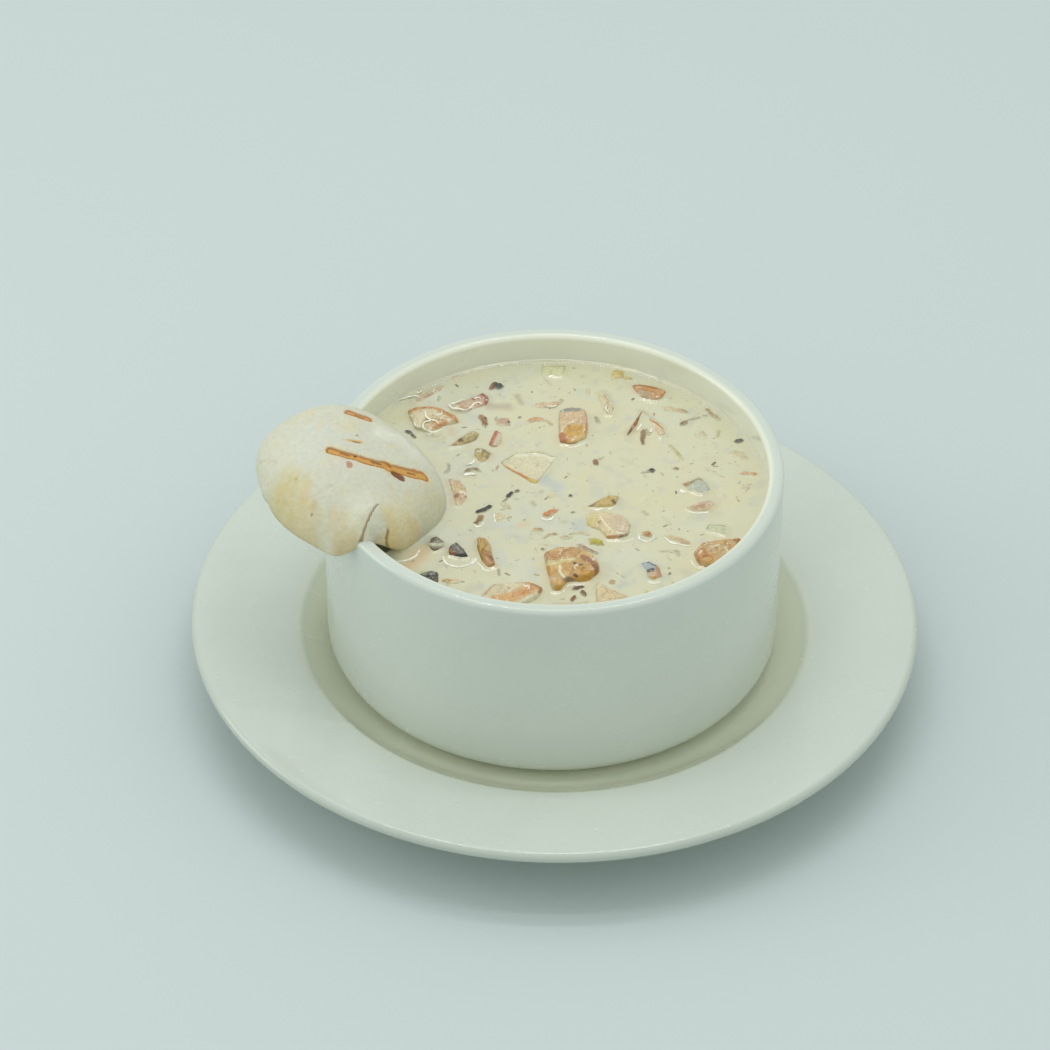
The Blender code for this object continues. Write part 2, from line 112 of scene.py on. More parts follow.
BEADS = (38.0, 140.0, 0.85)     # first, last and step in degrees of the beads along the far wall, coloured near-white as painted highlights
BEAD_INSET = 1.3                # how far they lie from the wall

# Mushroom cap
CAP_CENTRE = (-53.7, -6.0, 64.4)
CAP_TILT = 0.35
CAP_RADIUS = 25.4
CAP_HEIGHT = 14.4
CAP_LIP = 3.5
CAP_LIP_INSET = 0.07
CAP_HOLLOW = 6.0
CAP_FULLNESS = 0.9
CAP_HOLLOW_POWER = 4
CAP_ROWS = 230
CAP_COLUMNS = 360
CAP_GILLS = 96
CAP_LOBES = ((2, 0.000, 0.012), (3, 0.018, 0.013), (4, 0.000, 0.005), (6, 0.012, -0.009))
LIP_ANGLE = math.radians(125)
LIP_UNROLLED = 0.6
STAIN_STRENGTH = 0.78           # weaker marks on the skin are soft stains and one soft painted shade beside a crack, stronger ones crisp scorches
RIM_FOLDS = ((-46.7, -28.4, 4.7, 6.7, 4.3), (-53.5, 25.2, 3.0, 5.0, 8.0))
SWELLS = ((-56.1, -35.1, -2.9, 5.9, 5.7), (-50.9, 14.2, 1.2, 7.8, 10.2), (-35.6, 8.1, -1.2, 8.3, 8.4))

# Colours
CREAM = (206, 204, 172)
FILM = (224, 223, 198)
GLINT_HIGHLIGHT = (244, 243, 230)         # near-white painted highlight, on thin cream
RUST = (178, 104, 66)
UMBER = (92, 60, 40)
CHAR = (46, 42, 38)
IVORY = (203, 204, 184)
SHEEN = 0.032                   # what the wet surface adds to a piece's own colour, in linear numbers
GOLDEN = (0.91, 0.94, 0.76)     # how butter warms the pieces, in linear numbers
DRY_GLAZE = (199, 208, 197)
SAUCER_GLAZE = (202, 211, 200)
EDGE_DARKER_GLAZE = (184, 194, 181)    # darker towards the saucer's edge
WELL_GLAZE_BOUNCE_LIGHT = (221, 226, 203)    # painted bounce light: the well and the inner wall throw light at each other, so this glaze and the next are painted lighter and warmer
WALL_GLAZE_BOUNCE_LIGHT = (226, 230, 211)

# Food materials: roughness, bump scale, bump depth, scale and amount of unevenness, wet coat
CREAM_LOOK = (0.24, 500.0, 0.03, 600.0, 0.012, 0.8)
MUSHROOM_LOOK = (0.38, 1400.0, 0.15, 1300.0, 0.12, 0.8)
LEEK_LOOK = (0.30, 900.0, 0.05, 900.0, 0.06, 0.5)
SKIN_LOOK = (0.66, 900.0, 0.22, 700.0, 0.04, 0.0)
GLAZE_LOOK = (0.2, 60.0, 0.02, 38.0, 0.02, 0.6)
NOISE_DETAIL = 3.0
NOISE_ROUGHNESS = 0.5

# Floor and light
FLOOR_TONES = ((195, 207, 205), (198, 210, 208))
FLOOR_REACH = 3000.0
WORLD_TINT = (0.965, 1.0, 0.985, 1.0)
WORLD_DIM_SIDE = (-0.55, 0.75, 0.35)
WORLD_BRIGHT = 0.84
WORLD_DIM = 0.81

# Lights: name, place, what it points at, width, depth, brightness
LIGHTS = (
    ("top", (-60, 260, 900), (0, 0, 40), 800, 500, 0.33),
    ("strip_back", (0, 150, 880), (0, 0, 50), 640, 22, 18.0),
    ("strip_front", (0, -60, 900), (0, 0, 50), 640, 22, 14.0),
    ("left", (-900, 60, 420), (0, 0, 40), 500, 500, 1.8),
)

# Kinds of scraps and their slots
SCRAP_SLOTS = (("dark", "dark"), ("brown", "browned"), ("orange", "browned"), ("tan", "pale"), ("green", "leek"))


def mark(width, colour, *path, strength=0.9, relief=0.0):
    """A painted mark: its width, colour, the places it runs through, how strongly, and its own height."""
    return width, colour, path, strength, relief


# Floating pieces: name, rise above the soup, lean in x and in y, base colour, outline at the soup, marks
CHUNKS = (
    ("chunk_front", 2.2, (0.05, 0.02), (206, 168, 120),
     ((-3, -25.5), (2, -23.5), (6.5, -24), (10.5, -28), (11.3, -32), (8.5, -36), (3.5, -36.3),
      (1.3, -40), (-0.8, -39.5), (-2.2, -32)),
     (mark(3.0, (196, 148, 106), (-2, -25.3), (4, -24.3)),
      mark(2.8, (206, 164, 110), (-1.5, -29.5), (-0.8, -34), (0.3, -38)),
      mark(5.0, (200, 152, 92), (4, -29), (7.2, -31), relief=0.25),
      mark(3.5, (204, 156, 86), (6.0, -33.6), (8.5, -33.0)),
      mark(1.8, (146, 92, 62), (7.2, -25.3), (10, -28.3), (11.1, -31.5), (10.6, -34.8), strength=0.8),
      mark(2.0, (152, 132, 126), (2.8, -34.2), (4.2, -35.2)),
      mark(1.5, (228, 214, 180), (-2, -28.4), (1.5, -27.2), (4.6, -26.2), relief=-0.3),
      mark(0.9, CHAR, (5.0, -28.2), relief=-0.3), mark(1.0, UMBER, (6.6, -28.6), relief=-0.3),
      mark(0.9, UMBER, (5.0, -32.7), (5.5, -33.4)), mark(0.6, UMBER, (3.6, -28.3)),
      mark(1.6, (216, 178, 112), (3.2, -27.6)), mark(0.8, UMBER, (7.3, -30.2), strength=0.6),
      # painted highlight: the raised line below is coloured near-white
      mark(0.7, (236, 232, 212), (1.3, -29.4), (1.2, -31.6), (2.4, -33.8), relief=0.2))),
    ("cube_amber", 1.8, (0.0, 0.05), (206, 180, 142),
     ((0.4, 34), (4, 35.3), (7.5, 34.3), (8.3, 28), (7.6, 23), (4, 20.3), (0.6, 21), (0.2, 27)),
     (mark(5.6, (200, 158, 74), (4.4, 27.2), (6.4, 25.4), (4.2, 23.4), strength=0.97),
      mark(1.9, (138, 142, 130), (0.2, 35.8), (5.2, 36.4)),
      # painted highlight along the diagonal edge: the raised pale line below
      mark(0.6, (226, 214, 184), (0.7, 24.8), (2.0, 28.8), (5.0, 31.8), relief=0.2),
      mark(1.1, (188, 130, 62), (7.8, 36), (8.1, 31), (7.9, 25)),
      mark(0.5, (190, 140, 90), (0.3, 34), (0.4, 26)),
      mark(2.3, (184, 106, 72), (1.2, 25.0), (1.5, 22.8)),
      mark(1.1, (128, 102, 80), (0.9, 21.9), (3.6, 21.3), (5.2, 21.9), strength=0.7))),
    ("slice_front", 1.4, (0.03, 0.0), (210, 198, 162),
     ((-16, -38), (-10, -37.5), (-6.5, -37), (-3, -39.5), (-4, -43), (-9, -47), (-15, -47.5), (-19.5, -44)),
     (mark(4.0, (206, 158, 96), (-14.8, -43.6), (-10.5, -41.8), (-7.5, -39.4), (-5.5, -37.4)),
      mark(1.8, (194, 132, 70), (-10.2, -41.2), (-7.4, -39.9), (-6.4, -38.6), strength=0.6),
      mark(1.5, (166, 112, 74), (-5.2, -36.6), (-3.2, -38.2), (-3.6, -39.8)),
      mark(0.5, (180, 146, 112), (-18.7, -42.6), (-16.8, -39.5), (-15, -36.6), (-10, -36.2), (-6, -35.9)),
      mark(0.7, (168, 140, 112), (-11.7, -38.4)), mark(0.6, (160, 134, 110), (-15.3, -37.4)),
      mark(3.0, (214, 206, 176), (-6.0, -42.4), (-8.5, -44.6)))),
    ("chunk_right", 1.9, (-0.04, 0.0), (202, 156, 106),
     ((41.5, -19.5), (46, -18.5), (48, -19), (46.5, -24), (43.5, -28.5), (40, -30), (36.7, -28.5),
      (35.5, -24.5), (37.5, -21)),
     (mark(3.6, (192, 138, 86), (37.2, -21.8), (37.0, -26.8), (40, -28.4)),
      mark(3.0, (200, 152, 84), (38.6, -26.4), (42, -27.4)),
      mark(4.2, (208, 178, 146), (40.6, -21.2), (43.6, -22.3), (43.4, -24.4)),
      # painted highlights: the two raised lines below are coloured near-white
      mark(0.5, (240, 232, 214), (40.1, -20.8), (42, -19.8), relief=0.2),
      mark(0.5, (240, 232, 214), (43.7, -20.9), (44.6, -23.1), relief=0.2),
      mark(1.3, (104, 66, 46), (46.3, -21.4), (45.4, -23.9), (43.6, -25.9)),
      mark(1.9, (210, 170, 120), (42.4, -18.4), (46.4, -18.2)),
      mark(1.7, (168, 116, 70), (46.6, -17.8), (47.5, -18.6)),
      mark(0.6, UMBER, (38.0, -24.4), strength=0.7), mark(0.9, UMBER, (36.8, -26.6), strength=0.6),
      mark(0.8, RUST, (38.4, -23.0), (40.0, -24.6), strength=0.4),
      mark(0.5, UMBER, (39.8, -22.3), strength=0.5))),
    ("chunk_pale", 1.3, (0.0, -0.03), (212, 194, 152),
     ((8, -9), (12, -8), (17, -9.3), (19.5, -13), (19, -17), (16.5, -18.8), (13.3, -18.8), (11.5, -15.5),
      (8, -13.3)),
     (mark(3.0, (208, 194, 130), (9.0, -8.8), (8.6, -12)),
      mark(5.5, (202, 182, 152), (16.6, -10.5), (17.4, -14.6), strength=0.8),
      # a raised line of cream, painted near-white as a highlight
      mark(0.6, (236, 228, 192), (11.4, -9.0), (13.0, -12.4), (14.8, -15.2), relief=0.25),
      mark(1.2, (184, 124, 72), (13.3, -17.5), (15.4, -17.0), (17.0, -16.7)),
      mark(1.2, (118, 104, 84), (16.7, -17.1), (18.2, -16.3)),
      mark(0.5, (146, 136, 96), (11.0, -11.6), (11.5, -10.8)),
      # painted highlight: the raised line below is coloured near-white
      mark(0.5, (236, 230, 210), (15.6, -15.4), (17.6, -16.0), relief=0.15))),
    ("slice_back_left", 1.6, (0.02, 0.04), (210, 196, 158),
     ((-40, 33.5), (-36, 35.3), (-31, 34.3), (-27, 31), (-26, 29), (-30, 27.5), (-34, 24.5), (-38, 26.5)),
     (mark(1.2, (192, 138, 84), (-39.8, 34.0), (-37.4, 35.8), (-33.6, 36.2), (-30.6, 34.8)),
      mark(1.7, (190, 132, 78), (-30.6, 34.6), (-28.2, 32.8), (-26.6, 30.6)),
      mark(3.0, (202, 152, 98), (-32.3, 28.4), (-30.8, 29.6)),
      mark(1.2, (186, 128, 78), (-31.2, 28.6), strength=0.6),
      mark(0.6, UMBER, (-35.7, 36.0)),
      mark(2.4, (216, 206, 174), (-37.6, 29.0), (-37.0, 33.0), strength=0.6),
      mark(1.6, (196, 160, 120), (-33.0, 31.0), (-30.0, 31.4), strength=0.6))),
    ("slice_pink", 1.0, (0.03, 0.0), (198, 168, 140),
     ((-29.5, 36), (-24.5, 39.3), (-20.3, 42), (-18.3, 40), (-19, 37), (-24, 34.6)),
     (mark(1.2, (166, 110, 76), (-28.8, 38.2), (-24.4, 40.6), (-20.4, 42.8)),
      mark(1.8, (146, 86, 60), (-20.2, 42.6), (-18.7, 41.2), (-19.0, 38.4)),
      mark(1.4, (176, 130, 120), (-22.6, 40.4), (-20.8, 40.8)),
      mark(1.0, (190, 140, 100), (-26.4, 37.8), (-25.6, 36.8), strength=0.5))),
    ("slice_back_right", 1.2, (0.0, 0.03), (200, 158, 126),
     ((19.8, 46.3), (22, 47), (27, 45.7), (29.2, 44), (28, 41), (25.5, 40), (22, 41.5)),
     (mark(4.4, (202, 140, 84), (24.4, 44.6), (27.8, 44.6)),
      mark(2.6, (182, 154, 138), (22.2, 44.4), (23.8, 42.8)),
      mark(1.3, (168, 106, 74), (20.0, 47.3), (22, 47.8), (27.2, 46.4)),
      mark(1.2, (208, 160, 112), (27.8, 46.2), (28.8, 45.2)))),
    ("triangle_pale", 0.6, (0.0, -0.04), (214, 206, 172),
     ((-15, 12.3), (-12, 8.5), (-6.3, 3.7), (-4.6, 4.6), (-2, 10), (0, 15), (-5, 17.5), (-11, 16.5)),
     (mark(3.6, FILM, (-12.0, 16.8), (-5, 17.8), (0.0, 15.4), (-1.6, 10.4), strength=0.85),
      mark(1.3, (204, 154, 86), (-14.9, 12.4), (-12, 9.7), (-9.3, 7.6), (-6.3, 5.2)),
      mark(0.7, (192, 132, 70), (-13.2, 10.6), (-10.0, 8.4), (-8.0, 6.6)),
      mark(1.8, (204, 180, 104), (-7.2, 5.6), (-5.4, 4.9)),
      mark(0.5, (196, 180, 130), (-4.6, 5.6), (-2.4, 10.4), (-0.5, 14.5), strength=0.6),
      mark(1.2, (200, 182, 140), (-1.6, 13.2), strength=0.6), mark(0.7, (176, 166, 120), (-10.8, 11.0)))),
    ("wedge_left", 1.0, (0.0, 0.0), (156, 112, 78),
     ((22.3, 35.5), (20.9, 32.5), (18.2, 25), (19, 24.8), (21.2, 29.3), (22.9, 34.6)),
     (mark(1.4, (182, 142, 104), (21.4, 33.8), (22.4, 36.2)),
      mark(0.7, (110, 74, 52), (18.6, 26.2), (20.8, 31.4)),
      mark(0.7, (194, 128, 82), (20.0, 28.6), (20.8, 31.6), strength=0.6))),
    ("wedge_right", 0.9, (0.0, 0.0), (214, 200, 162),
     ((23.6, 33.6), (25, 32.3), (28, 29), (28.8, 25.5), (27.2, 24.2), (25.9, 26.5), (24.9, 29.8)),
     (mark(1.1, (196, 130, 64), (22.9, 34.4), (25.5, 31.9), (28.0, 29.2), (28.7, 27.4)),
      mark(1.4, (210, 176, 134), (26.6, 28.4), (27.6, 26.2), strength=0.6))),
    ("crescent", 1.3, (0.0, 0.02), (190, 148, 84),
     ((-20.3, -19.8), (-18.2, -19.6), (-16.6, -22), (-16, -26), (-15.2, -30), (-17, -31.3), (-19, -28.5),
      (-20.2, -24)),
     (mark(2.2, (196, 158, 96), (-19.3, -20.0), (-18.2, -22.5)),
      mark(3.2, (174, 130, 88), (-18.2, -25.2), (-17.0, -29.4)),
      mark(0.8, (110, 96, 60), (-20.2, -21.8)), mark(0.7, (120, 90, 50), (-18.6, -23.2), strength=0.6),
      mark(1.0, (118, 76, 54), (-16.4, -25.8), (-15.7, -27.4), strength=0.7),
      # painted highlights: the two light raised lines below
      mark(0.5, (206, 160, 130), (-17.8, -26.4), (-16.6, -28.8), relief=0.15),
      mark(0.5, (214, 168, 136), (-18.6, -28.0), (-17.4, -29.6), relief=0.15))),
    ("wedge_pink", 0.7, (0.0, 0.0), (204, 176, 142),
     ((-28.6, 5), (-25.6, 4.8), (-23.4, 1), (-23.1, -3), (-24.8, -6), (-26.4, -6), (-27.2, -2)),
     (mark(0.8, (184, 146, 110), (-29.2, 5.6), (-25.6, 5.5), (-23.7, 2.0), (-23.2, -2.0)),
      mark(0.5, (186, 150, 118), (-29.0, 5.0), (-27.4, -1.0), (-26.8, -5)),
      mark(1.1, (146, 108, 80), (-25.8, -0.8), (-26.1, -1.7)), mark(0.6, (140, 106, 82), (-23.7, -1.5)),
      mark(2.2, (210, 186, 138), (-26.4, 2.6), (-25.2, 1.0)))),
    ("piece_front", 1.3, (0.0, -0.02), (210, 192, 150),
     ((11.6, -36.7), (14.5, -39.3), (19, -42.3), (19.3, -45), (15, -47.5), (11, -46.5), (10.3, -42.5),
      (10.3, -39)),
     (mark(1.0, (194, 152, 110), (12.2, -36.2), (16, -39.2), (19.6, -41.4)),
      mark(0.6, (196, 160, 116), (10.0, -37.6), (9.8, -40.5)),
      # painted highlight at the apex: the near-white line below
      mark(0.5, (238, 232, 210), (10.7, -38.0), (11.7, -36.0), relief=0.2),
      mark(1.6, (198, 174, 134), (17.8, -42.2), (18.8, -41.8)))),
    ("piece_brown_edge", 0.8, (0.0, 0.0), (184, 186, 162),
     ((32.6, 4.5), (35, 5.8), (37, 7.4), (38.8, 6.3), (40.4, 2.5), (38, 0.4), (34.5, 1.8)),
     (mark(1.9, (160, 126, 72), (33.0, 5.4), (33.8, 5.0)),
      mark(1.7, (152, 122, 72), (35.0, 6.2), (37.0, 8.2), (38.0, 7.6)),
      mark(1.0, (170, 142, 96), (33.2, 3.6)),
      mark(3.4, (174, 180, 166), (37.4, 4.6), (38.4, 2.6), strength=0.8),
      mark(0.8, (150, 152, 138), (37.2, 1.6), (39.0, 1.4), strength=0.7))),
    ("piece_tan", 0.8, (0.0, 0.0), (200, 178, 146),
     ((33.5, -5.5), (37, -3), (40, -2), (41.5, -4), (39.5, -6.5), (36, -6.8)),
     (mark(1.7, (176, 140, 104), (35.8, -5.0), (38.6, -3.8)),
      mark(1.6, (204, 184, 136), (38.4, -6.6), (40.6, -5.4)),
      mark(1.0, (190, 166, 140), (37.5, -2.6), (40.0, -1.6)))),
    ("gill_wedge", 1.6, (0.0, 0.0), (72, 62, 59),
     ((-27.4, -23.3), (-25.5, -21.5), (-23.3, -24.5), (-22.3, -27), (-24.5, -27.2), (-27.4, -26.3)),
     (mark(2.3, (120, 114, 114), (-25.6, -22.6), (-24.8, -24.0)),
      mark(1.0, CHAR, (-27.3, -22.0), (-25.4, -20.2), (-23.7, -22.8), (-22.4, -25.4), (-24.2, -25.6)),
      mark(0.5, (96, 84, 84), (-26.2, -23.4), (-24.6, -25.2)),
      mark(1.0, (172, 112, 62), (-27.2, -23.6), (-26.2, -25.6)))),
    ("gill_slice", 1.1, (0.0, 0.0), (152, 142, 136),
     ((-33.0, -22.5), (-32.1, -19.6), (-30.5, -19.1), (-28.6, -20.9), (-28.8, -23.5), (-31.3, -25)),
     (mark(1.7, (98, 84, 78), (-31.8, -19.9), (-30.4, -18.9), (-28.0, -20.4)),
      mark(1.3, (208, 208, 202), (-32.8, -21.7), (-28.2, -21.7), relief=0.2),
      mark(0.9, (94, 78, 70), (-33.0, -22.9), (-31.0, -23.7), (-29.2, -23.5)),
      mark(1.0, (208, 152, 104), (-33.5, -22.2), (-32.5, -24.0)))),
    ("gill_front", 1.3, (0.0, 0.0), (88, 80, 70),
     ((-35, -35), (-32.5, -33.3), (-29.8, -33.6), (-29.6, -37), (-31.5, -39.5), (-34.5, -38.5)),
     (mark(1.6, (128, 132, 124), (-33.0, -33.2), (-31.2, -32.9)),
      mark(0.8, CHAR, (-34.6, -33.6), (-33.0, -32.1), (-30.2, -32.0), (-30.3, -33.7), (-33.0, -34.4),
           (-34.6, -33.6)),
      mark(0.6, (150, 134, 116), (-33.4, -35.0), (-30.4, -36.6)),
      mark(0.6, CHAR, (-33.0, -36.0), (-30.6, -37.6)))),
    ("leek_back", 0.6, (0.0, 0.0), (204, 204, 164),
     ((-4.9, 54.7), (-4.4, 55.4), (1.8, 55.2), (2.4, 54.6), (1.5, 50.9), (0.9, 50.3), (-4.4, 50.3),
      (-4.9, 50.9)),
     (mark(0.6, (176, 182, 130), (-4.4, 55.6), (2.2, 55.4)),
      mark(0.5, (178, 184, 136), (-4.7, 51), (-4.5, 55)),
      mark(1.2, (200, 202, 162), (-3.5, 51.5), (0.5, 51.4), strength=0.6))),
    ("leek_right", 0.5, (0.0, 0.0), (198, 202, 168),
     ((39.1, -12.2), (39.6, -11.7), (44.0, -12.1), (44.5, -12.7), (44.1, -16.0), (43.5, -16.4),
      (39.2, -14.7), (38.8, -14.0)),
     (mark(0.5, (180, 188, 146), (39.2, -11.4), (44.4, -11.9)),
      mark(2.0, (200, 204, 166), (41.0, -13.4), (43.0, -13.6), strength=0.5))),
    ("slice_brown_left", 1.0, (0.0, 0.0), (182, 164, 120),
     ((-28.6, 18.6), (-26.5, 22), (-22.5, 25.8), (-20.5, 24.5), (-21.5, 21.5), (-25, 19.3)),
     (mark(0.9, (152, 110, 70), (-28.8, 19.8), (-26.8, 22.8), (-24.6, 25.0), (-22.4, 26.9)),
      mark(1.4, (112, 74, 50), (-26.0, 22.8), (-25.5, 22.0)),
      mark(1.4, (182, 128, 82), (-28.4, 20.0), (-27.0, 21.4)),
      mark(0.8, (164, 140, 92), (-22.0, 26.6), (-20.4, 25.2)))),
    ("cube_red", 1.0, (0.0, 0.0), (206, 188, 164),
     ((-18.3, 19.7), (-17, 25.3), (-16, 26), (-14.4, 24.5), (-14.7, 20.5), (-16.3, 18.8)),
     (mark(1.5, (176, 98, 62), (-17.9, 20.8), (-17.0, 23.6), (-16.4, 26.2)),
      mark(0.9, (156, 88, 58), (-16.4, 26.8), (-14.6, 25.6)),
      mark(1.3, (118, 66, 48), (-18.1, 20.6)),
      mark(0.9, (182, 108, 78), (-17.6, 20.0), (-16.1, 19.7)))),
    ("piece_left", 0.9, (0.0, 0.0), (190, 168, 122),
     ((-21.6, 18.2), (-19, 17.9), (-17.2, 16), (-18.3, 13), (-20, 11.8), (-21.9, 15)),
     (mark(1.7, (144, 126, 98), (-20.4, 19.2), (-18.0, 17.6)),
      mark(0.9, (150, 134, 104), (-18.2, 17.0), (-18.6, 15.0), strength=0.7),
      mark(0.6, (160, 128, 80), (-21.4, 18.6), (-21.9, 15.6)))),
    ("piece_centre", 1.1, (0.02, 0.02), (200, 172, 112),
     ((8, -5.7), (10.5, -3.3), (14, -0.8), (16.4, -1.5), (15.5, -5), (11.5, -6)),
     (mark(1.4, (98, 70, 50), (8.4, -4.7), (9.6, -3.9)),
      mark(0.9, (174, 120, 72), (9.8, -3.4), (12.4, -1.2), (13.8, -0.1)),
      mark(1.0, (112, 82, 50), (14.8, -2.2), (15.3, -3.2)),
      mark(3.0, (202, 176, 120), (12.8, -2.6)),
      mark(1.4, (194, 186, 152), (15.8, -1.2), (16.2, -2.4), strength=0.7))),
    ("arch_back", 0.8, (0.0, 0.0), (209, 199, 164),
     ((10.3, 42), (11.8, 43.8), (13.3, 41.5), (15.3, 36.5), (14.5, 33.5), (12.3, 33.8), (11.3, 38)),
     (mark(0.8, (162, 142, 108), (10.0, 42.6), (11.0, 44.6), (12.2, 44.4), (13.4, 42.0), (15.0, 38.0),
           (15.4, 35.6)),
      mark(0.6, (206, 170, 124), (12.6, 42.4), (13.8, 38.4), strength=0.7))),
    ("piece_blue", 1.0, (0.0, 0.0), (164, 174, 174),
     ((21.8, -28.5), (24, -27.5), (26.6, -29.5), (27.5, -33.5), (25.5, -35), (23.5, -34), (23.2, -31.5)),
     (mark(1.0, CHAR, (22.2, -27.4)), mark(0.9, (86, 92, 92), (23.6, -26.9), (25.6, -28.4)),
      mark(0.9, (98, 104, 102), (21.7, -29.6), (22.6, -29.6)),
      mark(1.5, (182, 126, 74), (26.3, -29.2), (26.9, -32.4)),
      mark(2.2, (204, 170, 122), (24.8, -31.8), (25.2, -33.0)),
      mark(1.4, (192, 142, 80), (24.2, -33.8), (27.3, -33.2)),
      mark(1.2, CHAR, (23.9, -30.7), (24.9, -30.1)))),
    ("piece_back_left", 0.8, (0.0, 0.0), (202, 184, 158),
     ((-38.5, 39), (-36, 42), (-33, 44.5), (-30.5, 45.5), (-31.5, 42.5), (-34.5, 40), (-37, 37.6)),
     (mark(0.9, (190, 152, 120), (-37.4, 42.4), (-33.4, 45.6), (-31.0, 46.4)),
      mark(0.8, (176, 146, 120), (-34.5, 41.6), (-35.6, 40.6)),
      mark(0.8, (182, 164, 128), (-33.6, 42.4), (-34.8, 41.8)))),
    ("slice_rim", 0.7, (0.0, 0.0), (208, 188, 140),
     ((-5.5, -46.8), (0, -45.2), (6, -45), (8.7, -44.1), (8.7, -48), (4, -51.3), (-2, -51.3), (-6, -49.5)),
     (mark(1.4, (202, 174, 118), (-4.6, -45.9), (3.0, -45.2)), mark(0.5, (150, 124, 90), (-1.7, -45.6)),
      mark(2.0, (212, 194, 148), (4.0, -44.4), (8.2, -43.6)))),
)

